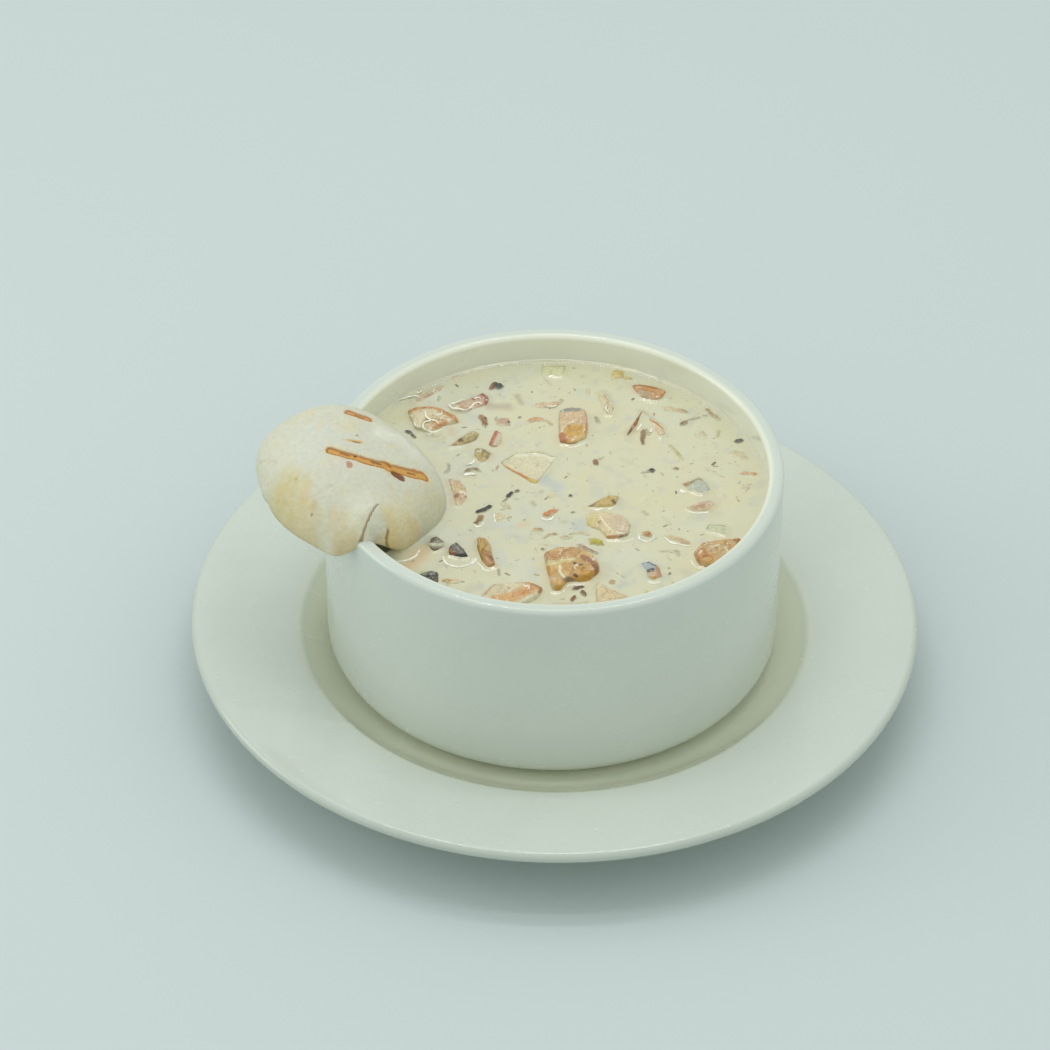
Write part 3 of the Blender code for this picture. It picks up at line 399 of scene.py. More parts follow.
# Scraps that lie in the surface: kind, width, rise, colour at the start and at the end, path
SCRAPS = (
    ("dark", 1.6, 0.7, (54, 58, 56), (66, 68, 62), (-20.8, -8.5), (-18.6, -6.9), (-16.8, -5.4)),
    ("dark", 1.3, 0.6, (50, 54, 52), (58, 56, 50), (-12.8, -1.8), (-11.5, 0.4)),
    ("dark", 1.2, 0.5, (78, 66, 50), (92, 78, 58), (-10.7, 0.7), (-9.9, 1.2)),
    ("dark", 1.3, 0.6, (60, 62, 56), (84, 84, 74), (-40.2, 25.6), (-38.7, 24.8)),
    ("dark", 1.1, 0.5, (66, 68, 62), (110, 110, 96), (-38.6, 24.2), (-37.7, 22.9)),
    ("dark", 1.7, 0.6, (84, 86, 78), (106, 108, 96), (47.3, 23.4), (49.2, 23.9)),
    ("dark", 1.9, 0.6, (50, 36, 32), (64, 48, 42), (24.4, 10.6), (25.4, 10.7)),
    ("dark", 0.8, 0.3, (112, 122, 120), (104, 90, 80), (22.3, 9.5), (24.2, 9.9)),
    ("dark", 1.6, 0.8, (150, 112, 96), (70, 62, 56), (-18.3, 44.6), (-17.2, 46.6), (-16.2, 47.0)),
    ("dark", 2.2, 0.9, (84, 92, 90), (46, 44, 42), (-16.6, 45.9), (-15.3, 45.9)),
    ("dark", 1.3, 0.5, (62, 58, 48), (70, 64, 52), (3.5, -0.7), (3.9, -0.5)),
    ("dark", 1.3, 0.6, (110, 80, 64), (86, 60, 48), (4.6, -38.8), (6.0, -38.2), (7.3, -37.6)),
    ("dark", 1.0, 0.4, (98, 102, 80), (70, 72, 58), (-3.6, -22.9), (-3.1, -22.8)),
    ("dark", 0.9, 0.3, (94, 100, 92), (110, 112, 102), (-10.4, 32.3), (-9.9, 32.5)),
    ("dark", 1.1, 0.4, (128, 118, 90), (104, 94, 72), (30.9, 11.5), (31.9, 11.5)),
    ("dark", 0.9, 0.4, (84, 80, 60), (100, 90, 70), (29.1, -32.1), (29.5, -31.5)),
    ("dark", 0.9, 0.3, (112, 118, 106), (150, 154, 140), (-32.0, 39.0), (-31.9, 41.2)),
    ("dark", 0.8, 0.3, (124, 124, 108), (140, 140, 120), (-38.4, 39.8), (-38.0, 39.9)),
    ("dark", 0.9, 0.3, (150, 150, 132), (130, 128, 112), (-28.7, 12.4), (-28.3, 10.2), (-29.4, 7.9)),
    ("dark", 0.8, 0.3, (126, 124, 100), (150, 144, 120), (4.0, -7.7), (4.9, -7.4)),
    ("dark", 0.5, 0.3, CHAR, CHAR, (-8.3, -11.0), (-8.0, -10.8)),
    ("brown", 1.8, 0.7, (162, 128, 84), (132, 100, 62), (-19.0, -9.7), (-20.0, -11.4), (-20.7, -13.1)),
    ("brown", 1.2, 0.5, (122, 100, 74), (158, 140, 108), (-24.3, 7.9), (-23.4, 9.2), (-21.2, 9.8),
     (-20.2, 8.9)),
    ("brown", 1.9, 0.7, (172, 136, 94), (130, 92, 64), (-20.6, 33.2), (-19.7, 30.6), (-19.2, 28.2)),
    ("brown", 1.0, 0.6, (104, 74, 54), (120, 86, 60), (-19.4, 32.0), (-19.1, 30.6)),
    ("brown", 1.3, 0.6, (158, 134, 100), (124, 92, 66), (22.9, 28.1), (22.8, 25.0), (22.6, 21.2)),
    ("brown", 0.9, 0.4, (162, 138, 108), (186, 176, 146), (23.5, 28.2), (24.4, 25.6)),
    ("brown", 2.1, 0.7, (136, 98, 74), (164, 134, 104), (10.6, 12.9), (10.0, 14.4)),
    ("brown", 1.0, 0.3, (178, 156, 126), (196, 184, 156), (11.2, 14.8), (12.2, 15.8)),
    ("brown", 1.7, 0.6, (116, 94, 66), (166, 148, 112), (33.0, 30.4), (34.2, 31.9)),
    ("brown", 0.7, 0.4, (176, 164, 132), (188, 182, 152), (34.6, 32.4), (38.2, 33.8)),
    ("brown", 1.5, 0.5, (156, 128, 92), (176, 162, 128), (39.7, 37.6), (41.4, 34.8), (43.4, 32.6)),
    ("brown", 1.6, 0.5, (182, 146, 96), (168, 134, 88), (14.2, -35.9), (15.0, -35.2)),
    ("brown", 1.2, 0.4, (142, 136, 112), (168, 166, 142), (10.1, 33.3), (11.2, 30.4)),
    ("brown", 1.3, 0.5, (182, 158, 132), (150, 120, 96), (5.6, -20.6), (8.2, -22.4), (10.9, -24.6)),
    ("brown", 1.2, 0.6, (132, 98, 68), (110, 78, 56), (7.0, -39.4), (7.7, -41.2)),
    ("brown", 1.0, 0.6, (126, 84, 52), (140, 96, 60), (5.1, -41.4), (4.4, -43.4)),
    ("brown", 1.3, 0.4, (190, 162, 118), (160, 124, 84), (-5.9, -15.2), (-4.8, -14.6), (-3.4, -15.2)),
    ("brown", 1.0, 0.4, (192, 172, 142), (170, 140, 112), (-3.4, -18.6), (-1.6, -16.8), (0.4, -16.6)),
    ("brown", 1.8, 0.4, (196, 176, 128), (160, 132, 82), (1.6, -17.8), (3.6, -17.9)),
    ("brown", 0.9, 0.3, (178, 150, 112), (186, 164, 124), (3.2, -16.6), (6.4, -15.8), (9.0, -16.8)),
    ("brown", 1.1, 0.4, (148, 116, 88), (190, 168, 140), (1.2, 40.4), (0.6, 39.6)),
    ("brown", 0.7, 0.3, (150, 112, 88), (170, 140, 112), (-16.1, 9.4), (-15.3, 11.6)),
    ("orange", 1.9, 0.7, (188, 118, 68), (206, 148, 104), (-3.1, -9.4), (-1.6, -7.9), (0.1, -6.7)),
    ("orange", 1.7, 0.5, (202, 148, 98), (206, 172, 124), (-8.0, 30.9), (-5.4, 31.8), (-3.4, 31.2)),
    ("orange", 0.9, 0.4, (204, 176, 132), (192, 154, 104), (-3.0, 31.2), (-1.4, 29.2)),
    ("orange", 2.3, 0.8, (196, 156, 100), (168, 118, 66), (23.0, -15.6), (24.0, -16.6)),
    ("orange", 1.2, 0.4, (208, 172, 132), (198, 138, 84), (48.2, 9.9), (50.8, 10.0), (52.6, 9.8)),
    ("orange", 2.2, 0.3, (208, 182, 138), (210, 192, 152), (-14.8, -8.6), (-14.7, -11.6)),
    ("orange", 2.0, 0.4, (210, 184, 136), (206, 178, 140), (-28.8, -36.0), (-24.2, -36.2)),
    ("orange", 0.6, 0.6, (206, 160, 84), (204, 156, 90), (-28.9, -36.2), (-26.0, -36.4)),
    ("tan", 3.2, 0.5, (196, 166, 138), (188, 154, 130), (-15.9, 31.0), (-13.6, 29.6)),
    ("tan", 0.9, 0.7, (112, 82, 68), (120, 90, 76), (-13.0, 29.9), (-12.8, 30.2)),
    ("tan", 1.9, 0.5, (206, 186, 152), (202, 168, 132), (-6.4, 37.6), (-2.0, 38.2), (1.0, 39.2)),
    ("tan", 1.8, 0.4, (204, 190, 148), (200, 176, 136), (28.2, 37.6), (31.0, 36.8)),
    ("tan", 1.5, 0.5, (200, 174, 132), (168, 138, 100), (31.4, 36.6), (33.2, 36.5), (34.6, 35.8)),
    ("tan", 1.6, 0.5, (206, 184, 138), (188, 160, 120), (28.6, -16.4), (31.2, -17.8), (34.6, -19.6)),
    ("tan", 1.1, 0.3, (184, 176, 144), (170, 158, 124), (26.8, -22.8), (32.2, -22.8)),
    ("tan", 1.0, 0.3, (178, 166, 134), (180, 170, 140), (31.0, -23.2), (31.8, -24.2)),
    ("tan", 2.2, 0.3, (198, 182, 142), (190, 168, 130), (-13.9, -4.2), (-12.2, -6.0)),
    ("tan", 2.4, 0.3, (192, 180, 148), (186, 172, 140), (37.2, 26.2), (39.2, 26.4)),
    ("tan", 1.3, 0.3, (194, 184, 142), (190, 178, 132), (42.9, 28.2), (42.3, 25.4)),
    ("tan", 2.6, 0.3, (202, 182, 146), (196, 174, 138), (44.8, 18.4), (48.0, 17.8), (50.2, 15.8)),
    ("tan", 2.0, 0.3, (196, 178, 152), (200, 186, 160), (50.0, 5.0), (49.0, 2.6)),
    ("tan", 1.3, 0.3, (200, 190, 140), (206, 196, 150), (8.2, 45.6), (8.1, 42.8)),
    ("tan", 1.2, 0.3, (204, 186, 132), (208, 192, 150), (-2.0, -0.9), (-0.6, -0.5)),
    ("tan", 3.6, 0.8, (208, 188, 124), (204, 182, 112), (15.2, 50.8), (17.0, 53.2)),
    ("tan", 1.5, 0.5, (206, 186, 124), (188, 164, 92), (17.6, 50.6), (19.8, 50.2)),
    ("tan", 1.5, 0.3, (206, 176, 144), (200, 178, 150), (-30.0, 49.0), (-26.6, 49.8)),
    ("tan", 2.0, 0.4, (206, 182, 152), (196, 160, 124), (-37.6, 44.6), (-34.6, 47.0), (-31.4, 48.6)),
    ("green", 3.0, 0.8, (186, 176, 78), (178, 168, 54), (9.4, -18.8), (11.8, -20.4)),
    ("green", 1.2, 0.4, (194, 194, 144), (180, 178, 116), (29.4, 22.0), (31.6, 18.4), (33.2, 14.8)),
    ("green", 0.7, 0.2, (196, 194, 148), (190, 188, 136), (39.0, 12.0), (41.4, 9.8), (43.8, 8.4)),
    ("green", 0.9, 0.2, (188, 194, 160), (184, 190, 152), (27.6, -8.4), (29.8, -12.2)),
    ("green", 1.0, 0.3, (194, 184, 104), (198, 192, 128), (23.1, -39.6), (23.5, -38.8)),
    ("green", 0.8, 0.3, (184, 184, 116), (192, 190, 130), (29.1, -29.8), (29.2, -29.2)),
    ("green", 0.7, 0.2, (196, 190, 128), (192, 186, 120), (-4.6, -20.6), (-2.0, -21.0)),
    ("green", 0.6, 0.2, (176, 180, 110), (190, 190, 130), (-5.2, -22.4), (-4.4, -24.2)),
)

# What shows through from below the surface
SUNKEN = (
    mark(3.2, (180, 190, 184), (-3.4, 5.8), (0.4, 3.2), strength=0.75),
    mark(2.8, (180, 168, 144), (-18.6, 37.2), (-13.6, 37.0), strength=0.85),
    mark(2.2, (208, 188, 150), (-10.0, -13.6), (-7.6, -12.2), strength=0.6),
    mark(4.0, (208, 178, 136), (-34, -24.5), (-35.6, -27.2), (-38.2, -31.2), strength=0.65),
    mark(3.6, (182, 188, 178), (5.8, -11.6), (6.6, -14.4), strength=0.6),
    mark(2.8, (190, 198, 190), (-16.0, -12.6), (-12.0, -14.0), strength=0.4),
    mark(1.0, (168, 164, 132), (22.8, -6.8), (23.6, -7.9), strength=0.8),
    mark(0.8, (182, 180, 150), (-27.4, -11.8), strength=0.8),
    mark(1.6, (196, 192, 164), (17.2, 15.6), (19.6, 13.4), strength=0.6),
    mark(2.2, (192, 196, 172), (12.6, 26.6), (14.0, 28.0), strength=0.6),
    mark(2.6, (192, 184, 160), (32.6, -30.4), (34.0, -31.6), strength=0.5),
    mark(1.4, (186, 194, 178), (17.6, -33.4), (19.4, -30.8), strength=0.7),
    mark(1.1, (178, 188, 174), (16.4, -37.4), (17.8, -35.8), strength=0.7),
    mark(2.4, (188, 186, 160), (-21.6, -39.2), (-19.6, -38.6), strength=0.6),
    mark(1.2, (180, 178, 152), (-23.4, -41.2), (-22.4, -40.8), strength=0.6),
    mark(2.4, (194, 198, 180), (-6.0, -30.6), (-5.8, -34.4), strength=0.7),
    mark(2.6, (190, 198, 188), (-14.6, -24.4), (-13.8, -29.0), strength=0.55),
    mark(0.6, (138, 128, 98), (-14.5, -31.4), (-14.2, -33.4), strength=0.9),
    mark(0.6, (140, 128, 104), (-15.0, -27.0), strength=0.8),
    mark(3.2, (198, 190, 166), (38.0, -1.0), (41.6, -1.8), strength=0.5),
    mark(1.2, (206, 194, 146), (-7.0, 16.6), strength=0.8),
    mark(1.0, (200, 184, 150), (-5.2, 20.4), strength=0.8),
    mark(1.1, (176, 168, 134), (-3.9, 1.0), strength=0.8),
    mark(1.2, (172, 166, 134), (-6.2, -3.6), (-5.6, -4.6), strength=0.8),
    mark(1.4, (184, 178, 148), (1.4, -11.4), (2.6, -11.6), strength=0.7),
    mark(1.4, (176, 182, 176), (4.4, -13.0), (5.4, -14.0), strength=0.5),
    mark(1.5, (150, 146, 122), (-10.9, 42.0), (-9.8, 38.6), strength=0.55),
    mark(1.0, (176, 166, 132), (-3.8, 50.0), (-2.0, 47.0), strength=0.4),
    mark(3.0, (186, 194, 186), (-24.5, 33.0), (-22.0, 31.4), strength=0.35),
    mark(3.4, (188, 196, 186), (36.0, 36.0), (38.0, 34.0), strength=0.3),
    mark(2.4, (190, 184, 160), (42.0, 16.4), (39.0, 16.0), strength=0.3),
    mark(2.2, (186, 192, 184), (-12.6, -17.4), (-10.0, -17.8), strength=0.4),
    mark(3.6, (188, 192, 178), (-25.6, 15.8), (-23.0, 17.2), strength=0.3),
    mark(1.6, (200, 178, 148), (-28.8, 27.2), (-27.4, 24.6), strength=0.5),
    mark(1.2, (182, 164, 132), (-33.0, 24.0), strength=0.7),
    mark(3.0, (184, 188, 170), (36.4, -8.6), (40.0, -8.2), strength=0.35),
    mark(4.0, (196, 198, 186), (2.0, -14.0), (-2.0, -12.0), strength=0.4),
    mark(6.0, (204, 206, 190), (16.0, -27.0), (20.0, -24.0), strength=0.4),
    mark(5.0, (204, 206, 190), (-8.0, -27.0), (-9.0, -33.0), strength=0.4),
    mark(2.0, (204, 192, 172), (-20.0, 16.0), (-17.0, 14.0), strength=0.3),
    mark(1.2, (170, 170, 150), (6.6, 51.0), strength=0.5),
    mark(1.4, (172, 172, 154), (27.4, 49.8), strength=0.5),
    mark(0.8, (150, 150, 130), (-21.6, 55.2), strength=0.5),
    mark(0.8, (186, 182, 150), (23.6, 7.8), strength=0.7),
    mark(0.8, (186, 184, 156), (41.4, 22.8), strength=0.6),
    mark(1.0, (190, 184, 150), (47.6, 13.2), strength=0.5),
    mark(1.2, (188, 190, 170), (-4.0, 43.8), strength=0.6),
)

# Raised lines of cream, coloured near-white as painted highlights, where the surface is drawn up round a piece
# or over it: radius, height, path
CREAM_LINES = (
    (0.24, 0.1, (0.0, 22.3), (1.2, 20.7), (4.2, 20.1), (7.0, 21.7), (8.5, 24.0)),
    (0.26, 0.1, (-28.8, -26.4), (-28.5, -28.2), (-27.2, -29.7), (-24.9, -30.4), (-22.3, -29.6),
     (-21.2, -28.2), (-21.2, -26.6)),
    (0.34, 0.1, (-21.3, -29.0), (-20.6, -27.9), (-20.0, -26.8)),
    (0.22, 0.1, (-20.2, -28.6), (-19.2, -29.6), (-18.4, -30.8)),
    (0.26, 0.1, (-18.6, -31.0), (-17.2, -31.9), (-15.6, -31.4), (-14.9, -30.2)),
    (0.24, 0.1, (-1.4, -38.0), (-0.9, -40.2), (0.6, -40.7), (1.9, -39.8), (2.7, -37.9), (4.3, -36.9),
     (7.0, -36.9), (9.2, -36.3)),
    (0.20, 0.1, (-10.5, -48.0), (-7.6, -46.6), (-4.2, -43.8), (-3.0, -41.0)),
    (0.20, 0.1, (-21.3, -12.9), (-20.4, -14.1), (-19.1, -13.5), (-18.6, -11.9)),
    (0.20, 0.1, (-3.8, -9.9), (-2.4, -10.9), (-1.0, -10.2), (-0.7, -9.0)),
    (0.22, 0.1, (21.4, -16.2), (21.8, -18.1), (23.5, -19.0), (25.1, -18.0), (25.5, -16.2)),
    (0.20, 0.1, (28.2, -17.2), (29.4, -18.9), (31.8, -20.0), (34.6, -20.6)),
    (0.22, 0.1, (13.6, -19.3), (16.6, -19.4), (19.0, -18.7), (20.0, -17.6)),
    (0.24, 0.1, (21.0, 42.9), (22.4, 41.0), (25.3, 39.7), (28.2, 40.6), (29.7, 42.8)),
    (0.24, 0.1, (22.6, 31.6), (21.7, 29.0), (19.6, 25.6)),
    (0.20, 0.1, (25.6, 25.6), (26.4, 24.1), (27.7, 23.7), (28.9, 24.8)),
    (0.18, 0.5, (24.9, 26.6), (25.2, 27.8), (26.2, 28.4)),
    (0.30, 0.2, (32.6, 2.4), (33.2, 1.5), (34.2, 2.2)),
    (0.18, 0.1, (35.6, 1.3), (37.4, 0.3), (39.4, 0.8)),
    (0.24, 0.2, (34.4, -6.6), (36.6, -7.2), (39.2, -6.8), (40.2, -5.4)),
    (0.26, 0.2, (10.0, -6.4), (11.2, -6.4), (11.8, -5.4)),
    (0.22, 0.2, (13.6, -6.0), (14.6, -5.6)),
    (0.20, 0.2, (-21.6, 14.2), (-22.2, 12.6), (-23.6, 11.6)),
    (0.40, 0.2, (-24.0, 7.4), (-22.8, 7.9), (-21.6, 7.6)),
    (0.16, 0.1, (-16.0, -8.4), (-15.9, -11.0), (-15.4, -13.0)),
    (0.20, 0.1, (35.6, -24.2), (35.0, -26.4), (35.9, -28.9), (37.4, -30.0)),
    (0.20, 0.1, (23.6, -35.0), (25.4, -35.8), (27.4, -34.8)),
    (0.20, 1.0, (11.0, -44.5), (11.7, -42.5), (13.8, -41.7), (17.1, -42.4), (17.5, -43.8), (16.2, -44.8)),
    (0.16, 1.0, (11.0, -44.5), (11.6, -45.4)),
    (0.24, 0.1, (-35.0, -24.0), (-36.1, -26.6), (-38.3, -28.2), (-40.8, -28.8)),
    (0.18, 1.0, (-29.2, 36.4), (-28.2, 35.0), (-26.6, 34.8), (-25.0, 34.2), (-23.6, 34.8)),
    (0.18, 1.1, (-23.6, 34.8), (-22.8, 36.0), (-22.2, 37.2), (-21.0, 37.4), (-20.4, 36.8)),
    (0.14, 1.1, (-28.6, 36.8), (-26.8, 37.4), (-25.6, 38.6), (-24.8, 38.4)),
    (0.14, 1.2, (-22.4, 39.0), (-21.4, 39.6), (-20.6, 39.0)),
    (0.17, 1.7, (-35.3, 32.6), (-35.0, 30.2), (-33.8, 28.6), (-35.4, 27.6), (-35.6, 25.4), (-34.4, 24.0)),
    (0.15, 1.7, (-34.4, 24.0), (-32.8, 23.4), (-31.6, 24.0), (-30.6, 25.0)),
    (0.14, 1.7, (-33.4, 31.4), (-31.8, 31.0), (-30.8, 31.8), (-31.0, 33.0)),
    (0.14, 1.7, (-38.0, 27.4), (-37.6, 26.0), (-36.4, 25.6)),
    (0.14, 1.7, (-33.4, 28.8), (-32.2, 28.2), (-31.6, 27.0)),
    (0.14, 0.7, (-37.8, 41.6), (-36.8, 42.4), (-37.2, 43.6), (-36.0, 44.0)),
    (0.16, 0.7, (-36.6, 39.6), (-38.2, 40.4), (-40.4, 39.8), (-43.8, 37.6)),
    (0.16, 0.9, (13.2, 37.4), (12.9, 35.8), (13.6, 34.2)),
    (0.16, 0.5, (-2.9, 37.2), (-1.4, 37.0), (-0.4, 37.4)),
    (0.16, 0.6, (46.4, -19.6), (47.6, -19.9)),
)

# Bubbles and drops: x, y, radius of the ring, radius of its line
RINGS = (
    (-30.9, 22.6, 1.25, 0.16), (-23.9, 16.6, 1.1, 0.14), (-7.8, 28.2, 1.0, 0.15), (22.8, -1.6, 1.0, 0.15),
    (-7.1, 16.6, 1.35, 0.13), (13.6, 33.0, 0.9, 0.14), (-21.6, 7.0, 0.9, 0.16), (-10.9, -18.0, 1.0, 0.12),
    (-5.2, -17.2, 1.7, 0.18), (-1.6, -18.2, 1.7, 0.16), (3.4, -18.6, 1.9, 0.16), (-3.3, -22.7, 1.1, 0.14),
    (38.2, 25.9, 1.9, 0.13), (5.9, 17.8, 0.7, 0.10), (17.0, 47.9, 1.6, 0.14), (38.6, -16.4, 0.9, 0.12),
    (-15.0, -15.2, 0.9, 0.10), (16.8, -22.4, 0.8, 0.16), (29.2, -13.8, 0.9, 0.12), (-12.4, 21.4, 0.8, 0.10),
)

# Marks on the cap's skin, placed in plan
GRILL = ((-58.2, -10.9), (-55.3, -11.6), (-51.1, -11.8), (-47.4, -11.8), (-43.8, -10.9))
GRILL_END = ((-43.2, -11.5), (-39.8, -10.4), (-36.6, -9.1), (-34.4, -7.8))
GRILL_SHORT = ((-54.1, 7.5), (-52.0, 7.0), (-49.5, 6.9))
CAP_MARKS = (
    mark(8.0, (196, 185, 130), (-69.2, -21.0), (-68.4, -24.6), strength=0.77),
    mark(3.6, (196, 184, 132), (-70.4, -21.4), (-70.0, -23.6), strength=0.5),
    mark(2.2, (206, 190, 138), (-63.8, -22.0), (-64.4, -25.0), strength=0.6),
    mark(1.6, (190, 166, 116), (-61.5, -26.3), (-61.9, -27.0), strength=0.6),
    mark(3.6, (208, 190, 138), (-66.4, -27.6), (-62.0, -29.2), strength=0.5),
    mark(3.4, (212, 194, 148), (-57.0, -28.8), (-54.4, -29.6), strength=0.45),
    mark(3.0, (208, 202, 162), (-54.9, -22.6), strength=0.4),
    mark(2.6, (206, 196, 156), (-45.3, -22.2), strength=0.35),
    mark(2.4, (208, 198, 150), (-37.6, -16.2), (-38.0, -18.0), strength=0.45),
    mark(1.4, (214, 196, 146), (-61.4, -1.8), (-61.0, 1.0), strength=0.45),
    mark(1.4, (216, 200, 154), (-64.8, 7.6), (-63.6, 8.4), strength=0.5),
    mark(1.4, (214, 200, 150), (-43.6, -3.0), (-42.4, -2.4), strength=0.45),
    mark(1.4, (204, 190, 136), (-37.4, 3.8), (-36.9, 2.8), strength=0.5),
    mark(1.2, (208, 196, 146), (-37.2, -5.0), strength=0.45),
    mark(3.4, (212, 202, 160), (-54.2, -1.0), (-53.4, 2.6), strength=0.5),
    mark(3.2, (216, 198, 174), (-58.6, -14.8), strength=0.35),
    mark(2.2, (214, 196, 180), (-55.2, -13.4), strength=0.5),
    mark(1.7, (182, 124, 96), (-53.1, -14.6), (-53.0, -15.0), strength=0.85, relief=-0.1),
    mark(5.0, (220, 222, 206), (-46.1, 2.0), (-40.2, 3.4), (-37.0, -0.4), strength=0.77),
    mark(9.0, (204, 209, 198), (-66.0, -12.0), (-62.0, -4.0), strength=0.5),
    mark(6.0, (212, 200, 152), (-41.0, -26.2), (-38.0, -23.0), strength=0.75),
    mark(3.0, (214, 192, 134), (-42.2, -27.4), (-41.0, -28.0), strength=0.7),
    mark(1.6, (206, 182, 132), (-36.0, -21.0), (-37.6, -22.6), strength=0.5),
    mark(2.0, (202, 178, 122), (-55.6, -31.6), (-51.4, -31.3), strength=0.6),
    mark(1.8, (206, 190, 140), (-69.8, -26.0), (-66.0, -29.0), (-61.0, -30.8), strength=0.45),
    mark(6.0, (196, 192, 156), (-33.2, -13.2), (-33.6, -17.6), strength=0.6),
    mark(4.0, (198, 194, 158), (-31.4, -9.2), (-31.6, -12.0), strength=0.5),
    mark(2.8, (220, 196, 130), *GRILL, strength=0.5),
    mark(2.9, (220, 196, 130), *GRILL_END, strength=0.5),
    mark(2.6, (220, 198, 138), *GRILL_SHORT, strength=0.45),
    mark(2.4, (166, 108, 40), *GRILL, strength=0.97, relief=-0.4),
    mark(2.6, (172, 114, 44), *GRILL_END, strength=0.95, relief=-0.4),
    mark(2.8, (172, 112, 48), *GRILL_SHORT, strength=0.95, relief=-0.35),
    mark(1.2, (208, 158, 80), *GRILL, strength=0.85),
    mark(1.4, (206, 158, 80), *GRILL_END, strength=0.85),
    mark(1.3, (208, 156, 86), *GRILL_SHORT, strength=0.8),
    mark(0.5, (128, 74, 34), (-55.6, -11.2), (-53.2, -11.5), strength=0.8),
    mark(0.6, (112, 64, 34), (-47.6, -11.5), (-45.2, -11.2), strength=0.85),
    mark(0.5, (140, 84, 38), (-38.4, -9.8), (-36.6, -9.0), strength=0.8),
    mark(0.6, (120, 70, 34), (-52.6, 6.9), (-50.4, 6.8), strength=0.8),
    mark(0.7, (96, 56, 34), (-51.8, -11.2), strength=0.95, relief=-0.2),
    mark(2.1, (116, 66, 32), (-41.6, -12.5), (-40.0, -12.8), strength=0.95, relief=-0.35),
    mark(2.2, (206, 160, 88), (-43.0, -12.3), (-41.8, -12.9), strength=0.5),
    mark(1.0, (206, 168, 96), (-53.6, -5.9), (-50.4, -5.4), strength=0.85, relief=-0.15),
    mark(0.6, (150, 98, 48), (-52.6, -6.0), (-51.0, -5.8), strength=0.9, relief=-0.25),
    mark(0.4, (196, 180, 140), (-55.6, -6.3), (-53.2, -6.0), strength=0.6, relief=-0.15),
    mark(0.6, (110, 66, 36), (-51.6, -3.2), strength=0.9),
    mark(0.6, (140, 104, 62), (-62.1, -28.2), strength=0.8),
    mark(0.4, (90, 86, 70), (-66.4, -20.0), strength=0.6),
    mark(0.34, (136, 108, 66), (-45.3, -25.4), (-46.9, -28.3), (-48.3, -30.0), (-49.2, -30.9), (-50.4, -31.4),
         strength=0.95, relief=-0.4),
    mark(0.34, (128, 102, 62), (-42.7, -28.0), (-43.3, -29.0), strength=0.9, relief=-0.4),
    mark(0.5, (204, 196, 164), (-62.0, -25.0), (-60.1, -24.2), (-57.1, -22.0), strength=0.6, relief=-0.2),
    mark(0.6, (198, 192, 158), (-77.0, -8.8), (-72.0, -13.0), strength=0.5, relief=-0.3),
    # painted shade beside the crack: the soft dark mark below
    mark(2.2, (110, 88, 56), (-46.0, -31.4), (-44.2, -31.0), strength=0.6),
)


# Numbers

def linear(colour):
    """A colour as a screen shows it, 0 to 255, in the shader's linear numbers."""
    value = np.asarray(colour, float) / 255
    return np.where(value <= 0.04045, value / 12.92, ((value + 0.055) / 1.055) ** 2.4)


def smooth(low, high, value):
    part = np.clip((value - low) / (high - low), 0.0, 1.0)
    return part * part * (3 - 2 * part)


def hashed(ix, iy, seed):
    """A repeatable number from 0 to 1 for each whole-number place."""
    mask = np.int64(0xFFFFFFFF)
    value = (ix.astype(np.int64) * 374761393 + iy.astype(np.int64) * 668265263 + seed * 974634777) & mask
    value = ((value ^ (value >> 13)) * 1274126177) & mask
    value = ((value ^ (value >> 16)) * 974711) & mask
    return (value ^ (value >> 15)).astype(float) / float(mask)


def one_noise(x, y, seed):
    ix = np.floor(x)
    iy = np.floor(y)
    fx = x - ix
    fy = y - iy
    fx = fx * fx * (3 - 2 * fx)
    fy = fy * fy * (3 - 2 * fy)
    near = hashed(ix, iy, seed) * (1 - fx) + hashed(ix + 1, iy, seed) * fx
    far = hashed(ix, iy + 1, seed) * (1 - fx) + hashed(ix + 1, iy + 1, seed) * fx
    return 2 * (near * (1 - fy) + far * fy) - 1


def noise(x, y, size, seed=0, octaves=3):
    """Soft noise from -1 to 1 whose largest spots are of that size."""
    total = 0.0
    weight = 1.0
    reach = 0.0
    for octave in range(octaves):
        scale = 2.0 ** octave / size
        turn = 0.7 + 1.1 * octave
        along = (x * math.cos(turn) - y * math.sin(turn)) * scale + 31.7 * octave
        across = (x * math.sin(turn) + y * math.cos(turn)) * scale - 17.3 * octave
        total = total + weight * one_noise(along, across, seed + octave)
        reach += weight
        weight *= 0.5
    return total / reach


def mixed(colours, other, weight):
    return colours + (linear(other) - colours) * weight[..., None]


def spline(points, closed, steps=12, pull=0.5):
    """A smooth curve through the points; a smaller pull keeps its corners sharper."""
    knots = np.asarray(points, float)
    if not closed:
        knots = np.vstack([2 * knots[0] - knots[1], knots, 2 * knots[-1] - knots[-2]])
    total = len(knots)
    pieces = range(total) if closed else range(1, total - 2)
    t = np.linspace(0, 1, steps, endpoint=False)[:, None]
    curve = []
    for i in pieces:
        p0, p1, p2, p3 = knots[i - 1], knots[i], knots[(i + 1) % total], knots[(i + 2) % total]
        curve.append((2 * t ** 3 - 3 * t ** 2 + 1) * p1 + (3 * t ** 2 - 2 * t ** 3) * p2
                     + (t ** 3 - 2 * t ** 2 + t) * pull * (p2 - p0) + (t ** 3 - t ** 2) * pull * (p3 - p1))
    if not closed:
        curve.append(knots[-2:-1])
    return np.concatenate(curve)


def even_steps(curve, count, closed):
    """The curve read again at equal steps, and its length."""
    line = np.vstack([curve, curve[:1]]) if closed else curve
    length = np.concatenate([[0], np.cumsum(np.hypot(*np.diff(line, axis=0).T))])
    wanted = np.linspace(0, length[-1], count, endpoint=not closed)
    return np.stack([np.interp(wanted, length, line[:, i]) for i in (0, 1)], axis=1), length[-1]


